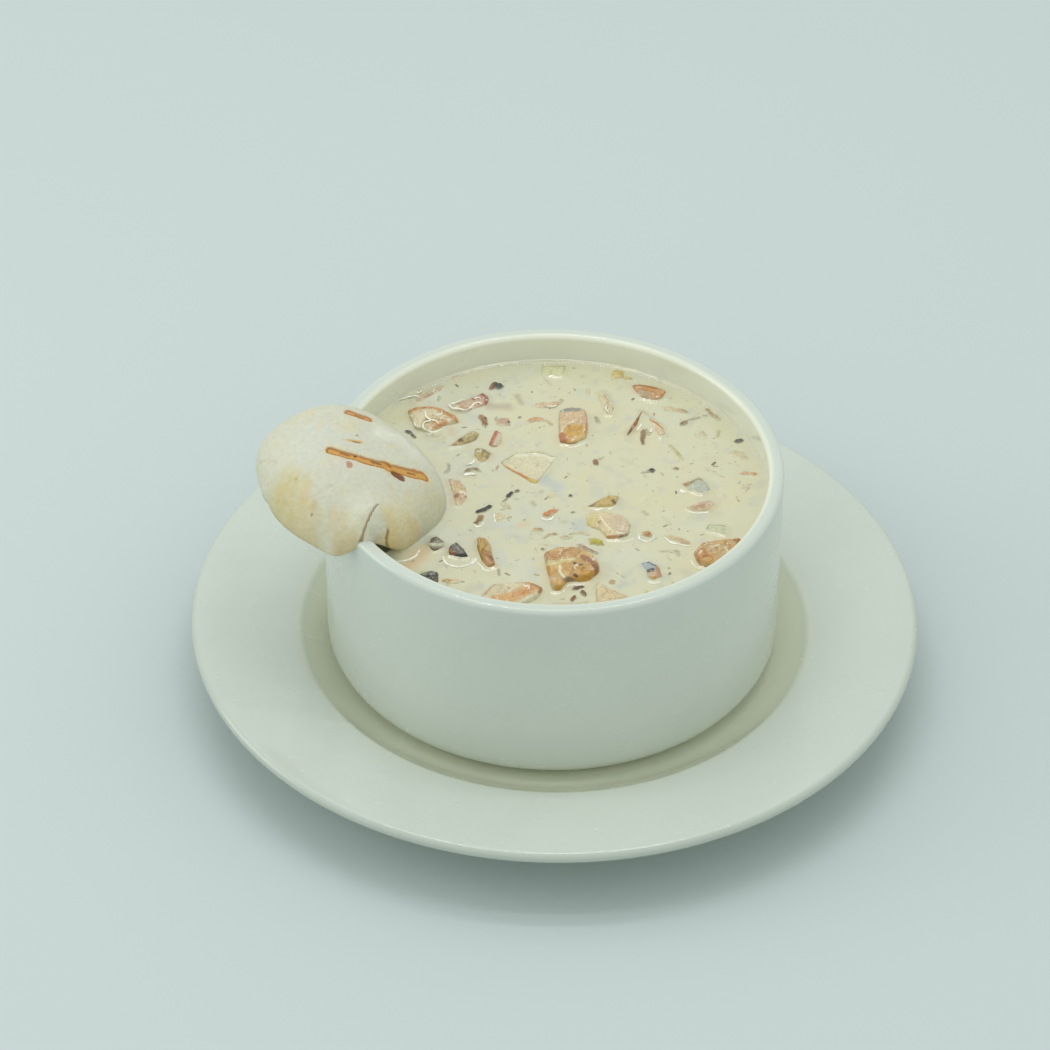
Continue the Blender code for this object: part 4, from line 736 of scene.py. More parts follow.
def path_distance(x, y, path):
    """Distance in plan from points to a path of straight stretches."""
    best = np.full(x.shape, 1e9)
    for (x0, y0), (x1, y1) in zip(path, path[1:]):
        dx, dy = x1 - x0, y1 - y0
        along = np.clip(((x - x0) * dx + (y - y0) * dy) / (dx * dx + dy * dy + 1e-12), 0, 1)
        best = np.minimum(best, (x - x0 - along * dx) ** 2 + (y - y0 - along * dy) ** 2)
    return np.sqrt(best)


def outline_distance(x, y, outline):
    """Distance in plan from points to a closed outline, negative inside."""
    away = path_distance(x, y, np.vstack([outline, outline[:1]]))
    inside = np.zeros(x.shape, bool)
    for (x0, y0), (x1, y1) in zip(outline, np.roll(outline, -1, axis=0)):
        crosses = (y0 > y) != (y1 > y)
        inside ^= crosses & (x < (x1 - x0) * (y - y0) / (y1 - y0 + 1e-12) + x0)
    return np.where(inside, -away, away)


def paint(x, y, colours, heights, marks, softness, spread=0.1, ragged=0.3, surface=None):
    """Lays marks over the colours and heights. Wide marks have softer and more ragged edges than narrow ones.

    The raggedness is laid out on the surface's own map where one is given, and otherwise in plan.
    """
    map_x, map_y = surface or (x, y)
    shift_x = ragged * noise(map_x, map_y, 1.3, 301)
    shift_y = ragged * noise(map_x, map_y, 1.3, 302)
    drift = 3 * ragged * noise(map_x, map_y, 4.0, 304) if surface else 0 * x
    for width, colour, path, strength, relief in marks:
        places = np.asarray(path if len(path) > 1 else path * 2, float)
        if len(places) > 2:
            places = spline(places, False, 4)
        low = places.min(axis=0) - width - 1
        high = places.max(axis=0) + width + 1
        near = (x > low[0]) & (x < high[0]) & (y > low[1]) & (y < high[1])
        if not near.any():
            continue
        wide = max(width - 2.4, 0.0)
        share = min(1.0, width / 3)
        broad = min(1.0, wide / 2)
        away = path_distance(x[near] + share * shift_x[near] + broad * drift[near],
                             y[near] + share * shift_y[near] + broad * drift[near], places)
        edge = min(softness + spread * width, 0.5 * width)
        weight = 1 - smooth(width / 2 - edge, width / 2 + edge, away)
        mottle = noise(map_x[near], map_y[near], 1.8, 303) * broad
        weight = np.clip(weight * (1 + 0.6 * mottle), 0, 1)
        colours[near] = mixed(colours[near], colour, weight * strength)
        heights[near] = heights[near] + relief * weight
    return colours, heights


# Meshes

def mesh_object(name, points, faces, material, colours=None):
    """A mesh object in the scene from points in millimetres, smooth, with its colours at the points."""
    mesh = bpy.data.meshes.new(name)
    mesh.from_pydata((np.asarray(points) * MM).tolist(), [], faces)
    mesh.shade_smooth()
    if colours is not None:
        tint = mesh.attributes.new("tint", "FLOAT_COLOR", "POINT")
        rgba = np.ones((len(points), 4))
        rgba[:, :3] = np.clip(colours, 0, 1)
        tint.data.foreach_set("color", rgba.ravel())
    obj = bpy.data.objects.new(name, mesh)
    bpy.context.scene.collection.objects.link(obj)
    mesh.materials.append(material)
    return obj


def tube_faces(rows, columns, closed=False):
    """Quads between rings of points, and a face over either end; closed joins the last ring to the first."""
    faces = []
    for i in range(rows if closed else rows - 1):
        a = i * columns
        b = (i + 1) % rows * columns
        for j in range(columns):
            k = (j + 1) % columns
            faces.append((a + j, b + j, b + k, a + k))
    if not closed:
        last = (rows - 1) * columns
        faces.append(tuple(range(columns)))
        faces.append(tuple(last + j for j in reversed(range(columns))))
    return faces


def join(name, parts, material):
    """One piece from several sets of points, faces and colours."""
    points, faces, colours = [], [], []
    start = 0
    for part_points, part_faces, part_colours in parts:
        points.append(part_points)
        colours.append(part_colours)
        faces += [tuple(start + i for i in face) for face in part_faces]
        start += len(part_points)
    return mesh_object(name, np.vstack(points), faces, material, np.vstack(colours))


def belongs(obj, slot, *nodes):
    """The piece rides on the one body and stands for its nodes."""
    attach(obj, "root")
    if nodes:
        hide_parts(*nodes)


# Materials

def new_material(name):
    material = bpy.data.materials.new(name)
    material.use_nodes = True
    return material, material.node_tree, material.node_tree.nodes["Principled BSDF"]


def noise_node(tree, scale):
    place = tree.nodes.new("ShaderNodeTexCoord")
    node = tree.nodes.new("ShaderNodeTexNoise")
    node.inputs["Scale"].default_value = scale
    node.inputs["Detail"].default_value = NOISE_DETAIL
    node.inputs["Roughness"].default_value = NOISE_ROUGHNESS
    tree.links.new(place.outputs["Object"], node.inputs["Vector"])
    return node


def add_bump(tree, shader, scale, distance):
    node = noise_node(tree, scale)
    bump = tree.nodes.new("ShaderNodeBump")
    bump.inputs["Strength"].default_value = 1.0
    bump.inputs["Distance"].default_value = distance
    tree.links.new(node.outputs["Fac"], bump.inputs["Height"])
    tree.links.new(bump.outputs["Normal"], shader.inputs["Normal"])


def noise_range(tree, node, low, high):
    """The noise spread between two values."""
    spread = tree.nodes.new("ShaderNodeMapRange")
    spread.inputs["From Min"].default_value = 0.3
    spread.inputs["From Max"].default_value = 0.7
    spread.inputs["To Min"].default_value = low
    spread.inputs["To Max"].default_value = high
    tree.links.new(node.outputs["Fac"], spread.inputs["Value"])
    return spread.outputs["Result"]


def food_material(name, look):
    """Point colours made a little uneven by a fine noise, with a wet coat and a bumpy surface."""
    roughness, bump_scale, bump_depth, grain, amount, coat = look
    material, tree, shader = new_material(name)
    tint = tree.nodes.new("ShaderNodeAttribute")
    tint.attribute_name = "tint"
    times = tree.nodes.new("ShaderNodeVectorMath")
    times.operation = "SCALE"
    tree.links.new(tint.outputs["Color"], times.inputs[0])
    tree.links.new(noise_range(tree, noise_node(tree, grain), 1 - amount, 1 + amount), times.inputs["Scale"])
    tree.links.new(times.outputs["Vector"], shader.inputs["Base Color"])
    shader.inputs["Roughness"].default_value = roughness
    shader.inputs["Coat Weight"].default_value = coat
    shader.inputs["Coat Roughness"].default_value = 0.04
    add_bump(tree, shader, bump_scale, bump_depth * MM)
    return material


def glaze_material(name):
    """White glaze in soft patches, glossy, with the faint ripple of a dipped glaze."""
    material = food_material(name, GLAZE_LOOK)
    tree = material.node_tree
    shader = tree.nodes["Principled BSDF"]
    shader.inputs["Coat Roughness"].default_value = 0.03
    tree.links.new(noise_range(tree, noise_node(tree, 90.0), 0.16, 0.30), shader.inputs["Roughness"])
    return material


# Dish

def arc(radius_at, height_at, size, start, end, count):
    angles = np.radians(np.linspace(start, end, count + 1))
    return [(radius_at + size * math.cos(a), height_at + size * math.sin(a)) for a in angles]


def eased(points, longest):
    """Long straight stretches of a profile cut into short ones, so that its shading stays even."""
    result = []
    for (r0, z0), (r1, z1) in zip(points, points[1:]):
        parts = max(1, math.ceil(math.hypot(r1 - r0, z1 - z0) / longest))
        result += [(r0 + (r1 - r0) * i / parts, z0 + (z1 - z0) * i / parts) for i in range(parts)]
    return result + [points[-1]]


def turned(name, profile, centre, material, shades):
    """A turned body, a hair out of true as thrown ware is, with a colour for each row of its profile."""
    radii = np.array([p[0] for p in profile])
    heights = np.array([p[1] for p in profile])
    angles = np.linspace(0, 2 * math.pi, TURN_STEPS, endpoint=False)
    out_of_true = 1 + WOBBLE * (0.6 * np.sin(2 * angles + 0.7) + 0.4 * np.sin(3 * angles + 2.1))
    rows = np.zeros((len(profile), TURN_STEPS, 3))
    rows[..., 0] = centre[0] + radii[:, None] * out_of_true * np.cos(angles)
    rows[..., 1] = centre[1] + radii[:, None] * out_of_true * np.sin(angles)
    rows[..., 2] = heights[:, None]
    faces = tube_faces(len(profile), TURN_STEPS)
    colours = np.repeat(shades, TURN_STEPS, axis=0)
    return mesh_object(name, rows.reshape(-1, 3), faces, material, colours)


def saucer(material):
    profile = np.array(saucer_profile())
    colours = np.tile(linear(SAUCER_GLAZE), (len(profile), 1))
    # the well is painted lighter and warmer, as painted bounce light
    shades = mixed(colours, WELL_GLAZE_BOUNCE_LIGHT, smooth(WELL_RADIUS + 3, WELL_RADIUS - 3, profile[:, 0]))
    shades = mixed(shades, EDGE_DARKER_GLAZE, smooth(SAUCER_RADIUS - 2.0, SAUCER_RADIUS - 0.4, profile[:, 0]))
    return turned("saucer_look", profile, (0, 0), material, shades)


def bowl(material):
    profile = np.array(bowl_profile())
    colours = np.tile(linear(DRY_GLAZE), (len(profile), 1))
    # the inner wall is painted lighter and warmer, as painted bounce light
    shades = mixed(colours, WALL_GLAZE_BOUNCE_LIGHT, smooth(BOWL_RADIUS - 2.4, BOWL_RADIUS - 3.8, profile[:, 0]))
    return turned("bowl_look", profile, (BOWL_X, BOWL_Y), material, shades)


def saucer_profile():
    wall_run = WELL_RADIUS - WELL_FLOOR_RADIUS
    wall_rise = WELL_EDGE_HEIGHT - WELL_FLOOR_HEIGHT
    wall = [(WELL_FLOOR_RADIUS + wall_run * t, WELL_FLOOR_HEIGHT + wall_rise * t ** WELL_CURVE)
            for t in np.linspace(0, 0.95, 14)]
    brow = [(WELL_RADIUS + 0.1, WELL_EDGE_HEIGHT + 0.05), (WELL_RADIUS + 0.9, WELL_EDGE_HEIGHT + 0.35),
            (WELL_RADIUS + 2.5, WELL_EDGE_HEIGHT + 0.7)]
    edge = arc(SAUCER_RADIUS - SAUCER_EDGE_BEAD, SAUCER_EDGE_HEIGHT, SAUCER_EDGE_BEAD, 90, -90, 14)
    under = [(WELL_RADIUS, WELL_EDGE_HEIGHT - SAUCER_THICKNESS),
             (FOOT_OUTER + FOOT_FLARE, FOOT_HEIGHT + FOOT_TAPER),
             (FOOT_OUTER, 0.0), (FOOT_INNER, 0.0), (FOOT_INNER - FOOT_TAPER, FOOT_HEIGHT),
             (HUB, WELL_FLOOR_HEIGHT - SAUCER_THICKNESS)]
    return eased([(HUB, WELL_FLOOR_HEIGHT)] + wall + brow + edge + under, 5.0)


def bowl_profile():
    inner = BOWL_RADIUS - BOWL_WALL
    inside = [(HUB, BOWL_FLOOR)]
    inside += arc(inner - INNER_CORNER, BOWL_FLOOR + INNER_CORNER, INNER_CORNER, -90, 0, 8)
    rim = arc(inner + BOWL_LIP, BOWL_TOP - BOWL_LIP, BOWL_LIP, 180, 90, 10)
    rim += arc(BOWL_RADIUS - BOWL_LIP, BOWL_TOP - BOWL_LIP, BOWL_LIP, 90, 0, 10)
    corner = arc(BOWL_RADIUS - BOWL_CORNER, BOWL_UNDERSIDE + BOWL_CORNER, BOWL_CORNER, 0, -90, 14)
    foot_height = WELL_FLOOR_HEIGHT + GAP
    foot = [(BOWL_FOOT_OUTER, BOWL_UNDERSIDE), (BOWL_FOOT_OUTER - BOWL_FOOT_TAPER, foot_height),
            (BOWL_FOOT_INNER, foot_height), (BOWL_FOOT_INNER - BOWL_FOOT_TAPER, BOWL_UNDERSIDE),
            (HUB, BOWL_UNDERSIDE)]
    return eased(inside + rim + corner + foot, 4.0)


# Floating pieces

def with_wall(grid, count):
    """A grid of rings with its last ring repeated, for the wall that sinks."""
    return np.concatenate([grid, np.repeat(grid[-1:], count, axis=0)])


def chunk_plan(points, seed):
    """A piece's uneven outline, its middle, and the places of its top in rings from the middle outwards."""
    perimeter = even_steps(spline(points, True), 96, True)[1]
    around = max(48, int(perimeter / CHUNK_STEP))
    outline = even_steps(spline(points, True, pull=CUT_PULL), around, True)[0]
    middle = outline.mean(axis=0)
    angle = np.linspace(0, 2 * math.pi, around, endpoint=False)
    ragged = 1 + 0.045 * noise(9 * np.cos(angle), 9 * np.sin(angle), 2.2, seed)
    outline = middle + (outline - middle) * ragged[:, None]
    rings = max(10, int(perimeter / 5 / CHUNK_STEP))
    parts = 1 - (1 - np.linspace(0.03, 1.0, rings)) ** 1.25
    return outline, middle, middle + parts[:, None, None] * (outline - middle)


def flesh_texture(x, y, inside, rise, seed):
    """Creases, fibres and glints of a cut piece; the glints mark where near-white highlights are painted."""
    grain = math.radians(7 * seed % 180)
    creases = 1 - smooth(0.0, 0.16, np.abs(noise(x, y, 3.4, seed + 11, 2)))
    along = x * math.cos(grain) + y * math.sin(grain)
    across = y * math.cos(grain) - x * math.sin(grain)
    fibres = one_noise(along / 3.0, across / 0.55, seed + 23)
    glints = 1 - smooth(0.02, 0.09, np.abs(noise(x, y, 2.4, seed + 21) - 0.05))
    patches = smooth(0.10, 0.30, noise(x, y, 2.2, seed + 22))
    return creases, fibres, glints * patches * smooth(0.2, 0.7, inside) * (rise > GLINT_RISE)


def cooked(x, y, colours, inside, creases, pale, seed):
    """The colours with browned creases and edges, and warmed by butter unless the piece is pale."""
    browned = colours ** np.array([1.25, 1.35, 1.6])
    skinned = 0.10 if pale else 0.5
    skin_edge = smooth(1.1, 0.2, inside) * smooth(-0.3, 0.3, noise(x, y, 3.0, seed + 13))
    deeper = (0.2 if pale else 0.45) * creases + skinned * skin_edge
    colours = colours + (browned - colours) * np.clip(deeper, 0, 1)[..., None]
    colours = colours if pale else colours * np.array(GOLDEN)
    return np.maximum(colours - SHEEN, 0.01)


def veiled(x, y, colours, heights, rise, dark, seed):
    """The colours under the cream that runs over a piece where it lies low."""
    film = smooth(-0.05, 0.5, noise(x, y, 3.2, seed + 17)) * smooth(1.3 * rise, 0.3 * rise, heights)
    drowned = min(0.8, 0.8 * rise)
    filmed = 0.15 if dark else 0.5
    veil = 0.9 * smooth(drowned, 0.0, heights + 0.5 * drowned * noise(x, y, 1.8, seed + 7)) + filmed * film
    return mixed(colours, CREAM, np.clip(veil, 0, 1))


def chunk(name, rise, lean, base, points, marks, material):
    """A floating piece: its top in rings from the middle to a rounded edge, then a wall that sinks."""
    seed = sum(map(ord, name))
    outline, middle, plan = chunk_plan(points, seed)
    x, y = plan[..., 0], plan[..., 1]
    inside = -outline_distance(x, y, outline)
    creases, fibres, glints = flesh_texture(x, y, inside, rise, seed)
    edge = np.clip(inside / EDGE_ROUND, 0, 1)
    top = rise + lean[0] * (x - middle[0]) + lean[1] * (y - middle[1])
    heights = (top + EDGE_DROP) * np.sqrt(1 - (1 - edge) ** 2) - EDGE_DROP
    lumps = 0.42 * noise(x, y, 2.6, seed) + 0.20 * noise(x, y, 0.9, seed + 9, 2)
    lumps = lumps - 0.30 * creases + 0.05 * fibres
    heights = heights + lumps * smooth(0.0, 1.0, inside) * min(1.0, 0.5 + 0.4 * rise) + 0.10 * glints
    pale = linear(base)[2] > 0.25
    uneven = 0.20 * noise(x, y, 2.6, seed + 5) + 0.12 * noise(x, y, 0.8, seed + 6) + 0.09 * fibres
    colours = np.tile(linear(base), x.shape + (1,)) * (1 + (0.4 if pale else 1.0) * uneven)[..., None]
    sinks = np.array(SINK_PARTS) * CHUNK_SINK
    heights = np.concatenate([heights, heights[-1:] - sinks[:, None]])
    x, y, colours = (with_wall(grid, len(sinks)) for grid in (x, y, colours))
    creases, inside, glints = (with_wall(grid, len(sinks)) for grid in (creases, inside, glints))
    relief = np.zeros(x.shape)
    colours, relief = paint(x, y + MARK_SLANT * np.maximum(heights, 0), colours, relief, marks, 0.15)
    colours = cooked(x, y, colours, inside, creases, pale, seed)
    colours = veiled(x, y, colours, heights, rise, max(base) < DARK_TONE, seed)
    # painted highlights: near-white glint lines laid over the pieces' colours
    colours = mixed(colours, GLINT_HIGHLIGHT, 0.7 * glints)
    grid = np.stack([x, y, SOUP_LEVEL + heights + relief], axis=-1)
    faces = tube_faces(len(grid), len(outline))
    if np.cross(outline[0] - middle, outline[1] - middle) < 0:
        faces = [tuple(reversed(face)) for face in faces]
    return mesh_object(name + "_look", grid.reshape(-1, 3), faces, material, colours.reshape(-1, 3))


def rope(path, half_width, half_height, height, start_colour, end_colour, seed, sides, step, closed=False,
         ragged=0.22):
    """A drawn-out drop or scrap along a path: an oval section, blunt ends, uneven on either side."""
    curve = spline(path, closed, 10)
    length = even_steps(curve, 8, closed)[1]
    reach = 0.0 if closed else half_width * 0.8
    count = max(7, int(length / step))
    curve = even_steps(curve, count, closed)[0]
    along = np.roll(curve, -1, axis=0) - np.roll(curve, 1, axis=0) if closed else np.gradient(curve, axis=0)
    along = along / (np.hypot(*along.T)[:, None] + 1e-9)
    if not closed:
        curve = np.vstack([curve[0] - along[0] * reach, curve, curve[-1] + along[-1] * reach])
        along = np.vstack([along[:1], along, along[-1:]])
        count += 2
    across = np.stack([-along[:, 1], along[:, 0]], axis=1)
    part = np.linspace(0, 1, count)
    taper = np.ones(count) if closed else np.clip(1 - np.abs(2 * part - 1) ** 5, 0.05, 1) ** 0.5
    turn = np.linspace(0, 2 * math.pi, sides, endpoint=False)
    either = part[:, None] * length + seed * 3.1, 2.0 * np.sign(np.cos(turn)) + 0 * part[:, None]
    sideways = half_width * taper[:, None] * (1 + ragged * noise(*either, 1.1, seed)) * np.cos(turn)
    upward = half_height * np.clip(taper, 0.3, 1.3)[:, None] * np.sin(turn)
    points = np.zeros((count, sides, 3))
    points[..., :2] = curve[:, None, :] + sideways[..., None] * across[:, None, :]
    points[..., 2] = SOUP_LEVEL + height + upward
    faces = tube_faces(count, sides, closed)
    tone = part[:, None, None]
    colours = np.tile(linear(start_colour) * (1 - tone) + linear(end_colour) * tone, (1, sides, 1))
    spots = 1 + 0.22 * noise(points[..., 0], points[..., 1], 0.9, seed + 3)
    return points.reshape(-1, 3), faces, (colours * spots[..., None]).reshape(-1, 3)


def scraps(kind, material):
    """All the scraps of a kind, each with cream drawn over its sunken edge."""
    parts = []
    for index, (own_kind, width, rise, start_colour, end_colour, *path) in enumerate(SCRAPS):
        if own_kind == kind:
            low = 0.55 * rise
            points, faces, colours = rope(path, 0.55 * width, rise + low, -low, start_colour, end_colour, index,
                                          16, 0.18, ragged=0.75)
            x, y = points[:, 0], points[:, 1]
            points[:, 2] += 0.16 * noise(x, y, 0.8, index)
            edge = smooth(0.5, 0.05, points[:, 2] - SOUP_LEVEL + 0.2 * noise(x, y, 0.9, index))
            colours = mixed(np.maximum(colours - SHEEN, 0.01), CREAM, 0.8 * edge)
            parts.append((points, faces, colours))
    return join(kind + "_scraps", parts, material)


def crumbs(outlines, material):
    """Fine crumbs all over the surface, most of them half drowned."""
    random = np.random.default_rng(20)
    parts = []
    while len(parts) < CRUMBS:
        reach = (SOUP_RADIUS - 2) * math.sqrt(random.random())
        turn = random.random() * 2 * math.pi
        x = BOWL_X + reach * math.cos(turn)
        y = BOWL_Y + reach * math.sin(turn)
        place = np.array([x]), np.array([y])
        size = 0.3 + 1.3 * random.random() ** 3
        direction = random.random() * math.pi
        tone = CRUMB_TONES[random.integers(len(CRUMB_TONES))]
        close = [outline for outline in outlines if np.hypot(*(outline - (x, y)).T).min() < 3
                 or (outline.min(axis=0) < (x, y)).all() and (outline.max(axis=0) > (x, y)).all()]
        if any(outline_distance(*place, outline)[0] < 0.6 for outline in close):
            continue
        dx, dy = 0.5 * size * math.cos(direction), 0.5 * size * math.sin(direction)
        path = ((x - dx, y - dy), (x, y), (x + dx, y + dy))
        points, faces, colours = rope(path, 0.28 * size, 0.28, -0.14, tone, tone, 900 + len(parts), 8, 0.15)
        parts.append((points, faces, mixed(colours, CREAM, np.full(len(points), 0.35 * random.random()))))
    return join("crumbs", parts, material)


def cream_lines(material):
    """Cream drawn up along the pieces, the rims of bubbles, and the beaded line along the far wall; the drawn-up
    lines and the beads are coloured near-white as painted highlights.
    """
    parts = []
    for index, (radius, height, *path) in enumerate(CREAM_LINES):
        parts.append(rope(path, 1.5 * radius, 0.8 * radius, height - 0.04, GLINT_HIGHLIGHT, FILM, 500 + index, 10, 0.2,
                          ragged=0.8))
    turn = np.linspace(0, 2 * math.pi, 14, endpoint=False)
    for index, (x, y, size, radius) in enumerate(RINGS):
        ring = np.stack([x + 0.8 * size * np.cos(turn), y + 0.75 * size * np.sin(turn)], axis=1)
        parts.append(rope(ring, 1.9 * radius, 0.7 * radius, -0.02, CREAM, CREAM, 700 + index, 10, 0.25,
                          closed=True, ragged=0.5))
    # beads of painted highlight along the far wall
    for degrees in np.arange(*BEADS):
        turn = math.radians(degrees)
        reach = SOUP_RADIUS - BEAD_INSET + 0.25 * math.sin(degrees / 4)
        x, y = BOWL_X + reach * math.cos(turn), BOWL_Y + reach * math.sin(turn)
        path = ((x - 0.1, y), (x, y), (x + 0.1, y))
        parts.append(rope(path, 0.23, 0.2, 0.22, GLINT_HIGHLIGHT, GLINT_HIGHLIGHT, 31, 6, 0.1))
    return join("cream_lines", parts, material)


# Chowder

def disc_plan(cells):
    """A square grid bent to fill the unit disc evenly."""
    line = np.linspace(-1, 1, cells + 1)
    a, b = np.meshgrid(line, line, indexing="xy")
    wide = np.abs(a) >= np.abs(b)
    radius = np.where(wide, a, b)
    with np.errstate(divide="ignore", invalid="ignore"):
        angle = np.where(wide, math.pi / 4 * b / a, math.pi / 2 - math.pi / 4 * a / b)
    angle = np.nan_to_num(angle)
    return radius * np.cos(angle), radius * np.sin(angle)


def soup_relief(x, y, to_wall, outlines, cap_outline):
    """Heights above the soup's level, drawn up at the wall and round what floats, and the places round each."""
    banks = []
    heights = 0.05 * noise(x, y, 9.0, 3) + 0.035 * noise(x, y, 2.5, 8)
    heights = heights + 0.8 * np.exp(-to_wall / 0.9)
    for index, outline in enumerate(outlines + [cap_outline]):
        near = ((x > outline[:, 0].min() - 4) & (x < outline[:, 0].max() + 4)
                & (y > outline[:, 1].min() - 4) & (y < outline[:, 1].max() + 4))
        away = outline_distance(x[near], y[near], outline)
        climb = 0.50 + 0.25 * noise(x[near], y[near], 4.0, index)
        drawn = climb * np.exp(-np.maximum(away, 0) / 0.7)
        depth = 0.0 if outline is cap_outline else CHUNK_SINK + 0.4
        heights[near] += drawn - (depth + climb) * smooth(0.45, 0.9, -away)
        banks.append((near, away))
    return heights, banks


def soup_colours(x, y, to_wall, bases, banks):
    """Cream in soft patches; the pieces' sunken flanks show through it a short way, in their base colours."""
    colours = np.tile(linear(CREAM), x.shape + (1,))
    colours = mixed(colours, (200, 203, 183), smooth(-0.1, 0.6, noise(x, y, 14.0, 21)) * 0.6)
    colours = mixed(colours, (210, 203, 160), smooth(0.0, 0.6, noise(x, y, 11.0, 25)) * 0.5)
    colours = mixed(colours, (188, 191, 176), smooth(0.15, 0.6, noise(x, y, 3.4, 26)) * 0.5)
    colours = mixed(colours, FILM, 0.45 * np.exp(-to_wall / 1.2))
    colours = colours * (1 + 0.02 * noise(x, y, 2.2, 22))[..., None]
    for index, (base, (near, away)) in enumerate(zip(bases, banks)):
        patchy = smooth(-0.4, 0.5, noise(x[near], y[near], 3.0, index + 60))
        colours[near] = mixed(colours[near], base, 0.42 * patchy * np.exp(-np.maximum(away, 0) / 0.9))
    return colours


def soup_surface(outlines, bases, cap_outline, material):
    """The creamy surface, closed below as the solid is."""
    unit_x, unit_y = disc_plan(SOUP_CELLS)
    x = BOWL_X + SOUP_RADIUS * unit_x
    y = BOWL_Y + SOUP_RADIUS * unit_y
    to_wall = SOUP_RADIUS * (1 - np.hypot(unit_x, unit_y))
    heights, banks = soup_relief(x, y, to_wall, outlines, cap_outline)
    colours = soup_colours(x, y, to_wall, bases, banks)
    colours, heights = paint(x, y, colours, heights, SUNKEN, 0.4, 0.4, 0.6)
    points = np.stack([x, y, SOUP_LEVEL + heights], axis=-1).reshape(-1, 3)
    side = SOUP_CELLS + 1
    index = np.arange(side * side).reshape(side, side)
    corners = index[:-1, :-1], index[:-1, 1:], index[1:, 1:], index[1:, :-1]
    faces = np.stack(corners, axis=-1).reshape(-1, 4).tolist()
    border = np.concatenate([index[0, :-1], index[:-1, -1], index[-1, :0:-1], index[:0:-1, 0]])
    total = len(border)
    rim_x = unit_x.ravel()[border]
    rim_y = unit_y.ravel()[border]
    below = [(SOUP_RADIUS, SOUP_LEVEL - 3.0)]
    below += arc(SOUP_RADIUS - INNER_CORNER, BOWL_FLOOR + GAP + INNER_CORNER, INNER_CORNER, 0, -90, 6)
    rings = [np.stack([BOWL_X + r * rim_x, BOWL_Y + r * rim_y, np.full(total, z)], axis=1) for r, z in below]
    start = len(points)
    all_points = np.vstack([points] + rings)
    above = border
    for ring in range(len(below)):
        lower = start + ring * total + np.arange(total)
        for j in range(total):
            k = (j + 1) % total
            faces.append((int(above[j]), int(lower[j]), int(lower[k]), int(above[k])))
        above = lower
    faces.append(tuple(int(i) for i in above[::-1]))
    skirt = np.tile(linear(CREAM), (len(all_points) - start, 1))
    soup = mesh_object("soup_look", all_points, faces, material, np.vstack([colours.reshape(-1, 3), skirt]))
    soup.data.set_sharp_from_angle(angle=SHARP_ANGLE)
    return soup


# Mushroom cap

def bend_weight(x, y, bend):
    place_x, place_y, _, across, along = bend
    outward = np.array([place_x - BOWL_X, place_y - BOWL_Y])
    outward = outward / np.hypot(*outward)
    radial = ((x - place_x) * outward[0] + (y - place_y) * outward[1]) / across
    tangential = ((x - place_x) * outward[1] - (y - place_y) * outward[0]) / along
    return np.exp(-radial ** 2 - tangential ** 2)


def cap_grid(rows, columns):
    """Points of the cap: dome, curled lip and hollow, the same as the solid's."""
    colatitude = np.linspace(0.012, math.pi - 0.02, rows)[:, None]
    angle = np.linspace(0, 2 * math.pi, columns, endpoint=False)[None, :]
    reach = CAP_RADIUS * (1 + sum(c * np.cos(n * angle) + s * np.sin(n * angle) for n, c, s in CAP_LOBES))
    rim_x = CAP_CENTRE[0] + np.cos(angle) * CAP_RADIUS
    rim_y = CAP_CENTRE[1] + np.sin(angle) * CAP_RADIUS
    nearness = np.maximum(*(bend_weight(rim_x, rim_y, bend) for bend in RIM_FOLDS))
    lip = CAP_LIP * (1 - LIP_UNROLLED * nearness)
    turn = np.clip((colatitude - math.pi / 2) / (LIP_ANGLE - math.pi / 2), 0, 1) * math.pi / 2
    part = np.clip((math.pi - colatitude) / (math.pi - LIP_ANGLE), 0, 1)
    dome = colatitude <= math.pi / 2
    margin = ~dome & (colatitude <= LIP_ANGLE)
    spread = np.where(dome, np.sin(np.minimum(colatitude, math.pi / 2)) ** CAP_FULLNESS,
                      np.where(margin, 1 - CAP_LIP_INSET * (1 - np.cos(turn)), (1 - CAP_LIP_INSET) * part))
    under = -lip + CAP_HOLLOW * (1 - part ** CAP_HOLLOW_POWER)
    height = np.where(dome, CAP_HEIGHT * np.cos(colatitude) + 0 * angle,
                      np.where(margin, -lip * np.sin(turn), under))
    local = np.stack([reach * spread * np.cos(angle), reach * spread * np.sin(angle), height], axis=-1)
    placed = local @ np.array(Matrix.Rotation(CAP_TILT, 3, "Y")).T + np.array(CAP_CENTRE)
    x, y = placed[..., 0], placed[..., 1]
    placed[..., 2] += sum(bend[2] * bend_weight(x, y, bend) for bend in RIM_FOLDS + SWELLS)
    return placed, colatitude + 0 * angle, angle + 0 * colatitude


def cap_waterline():
    """Where the cap's skin meets the soup, in plan; its dry side is followed along the margin."""
    placed, colatitude, _ = cap_grid(120, 90)
    outline = []
    for column in range(placed.shape[1]):
        skin = placed[colatitude[:, column] < LIP_ANGLE, column]
        low = np.nonzero(skin[:, 2] < SOUP_LEVEL + 0.1)[0]
        outline.append(skin[low[0], :2] if len(low) else skin[-1, :2])
    return np.array(outline)


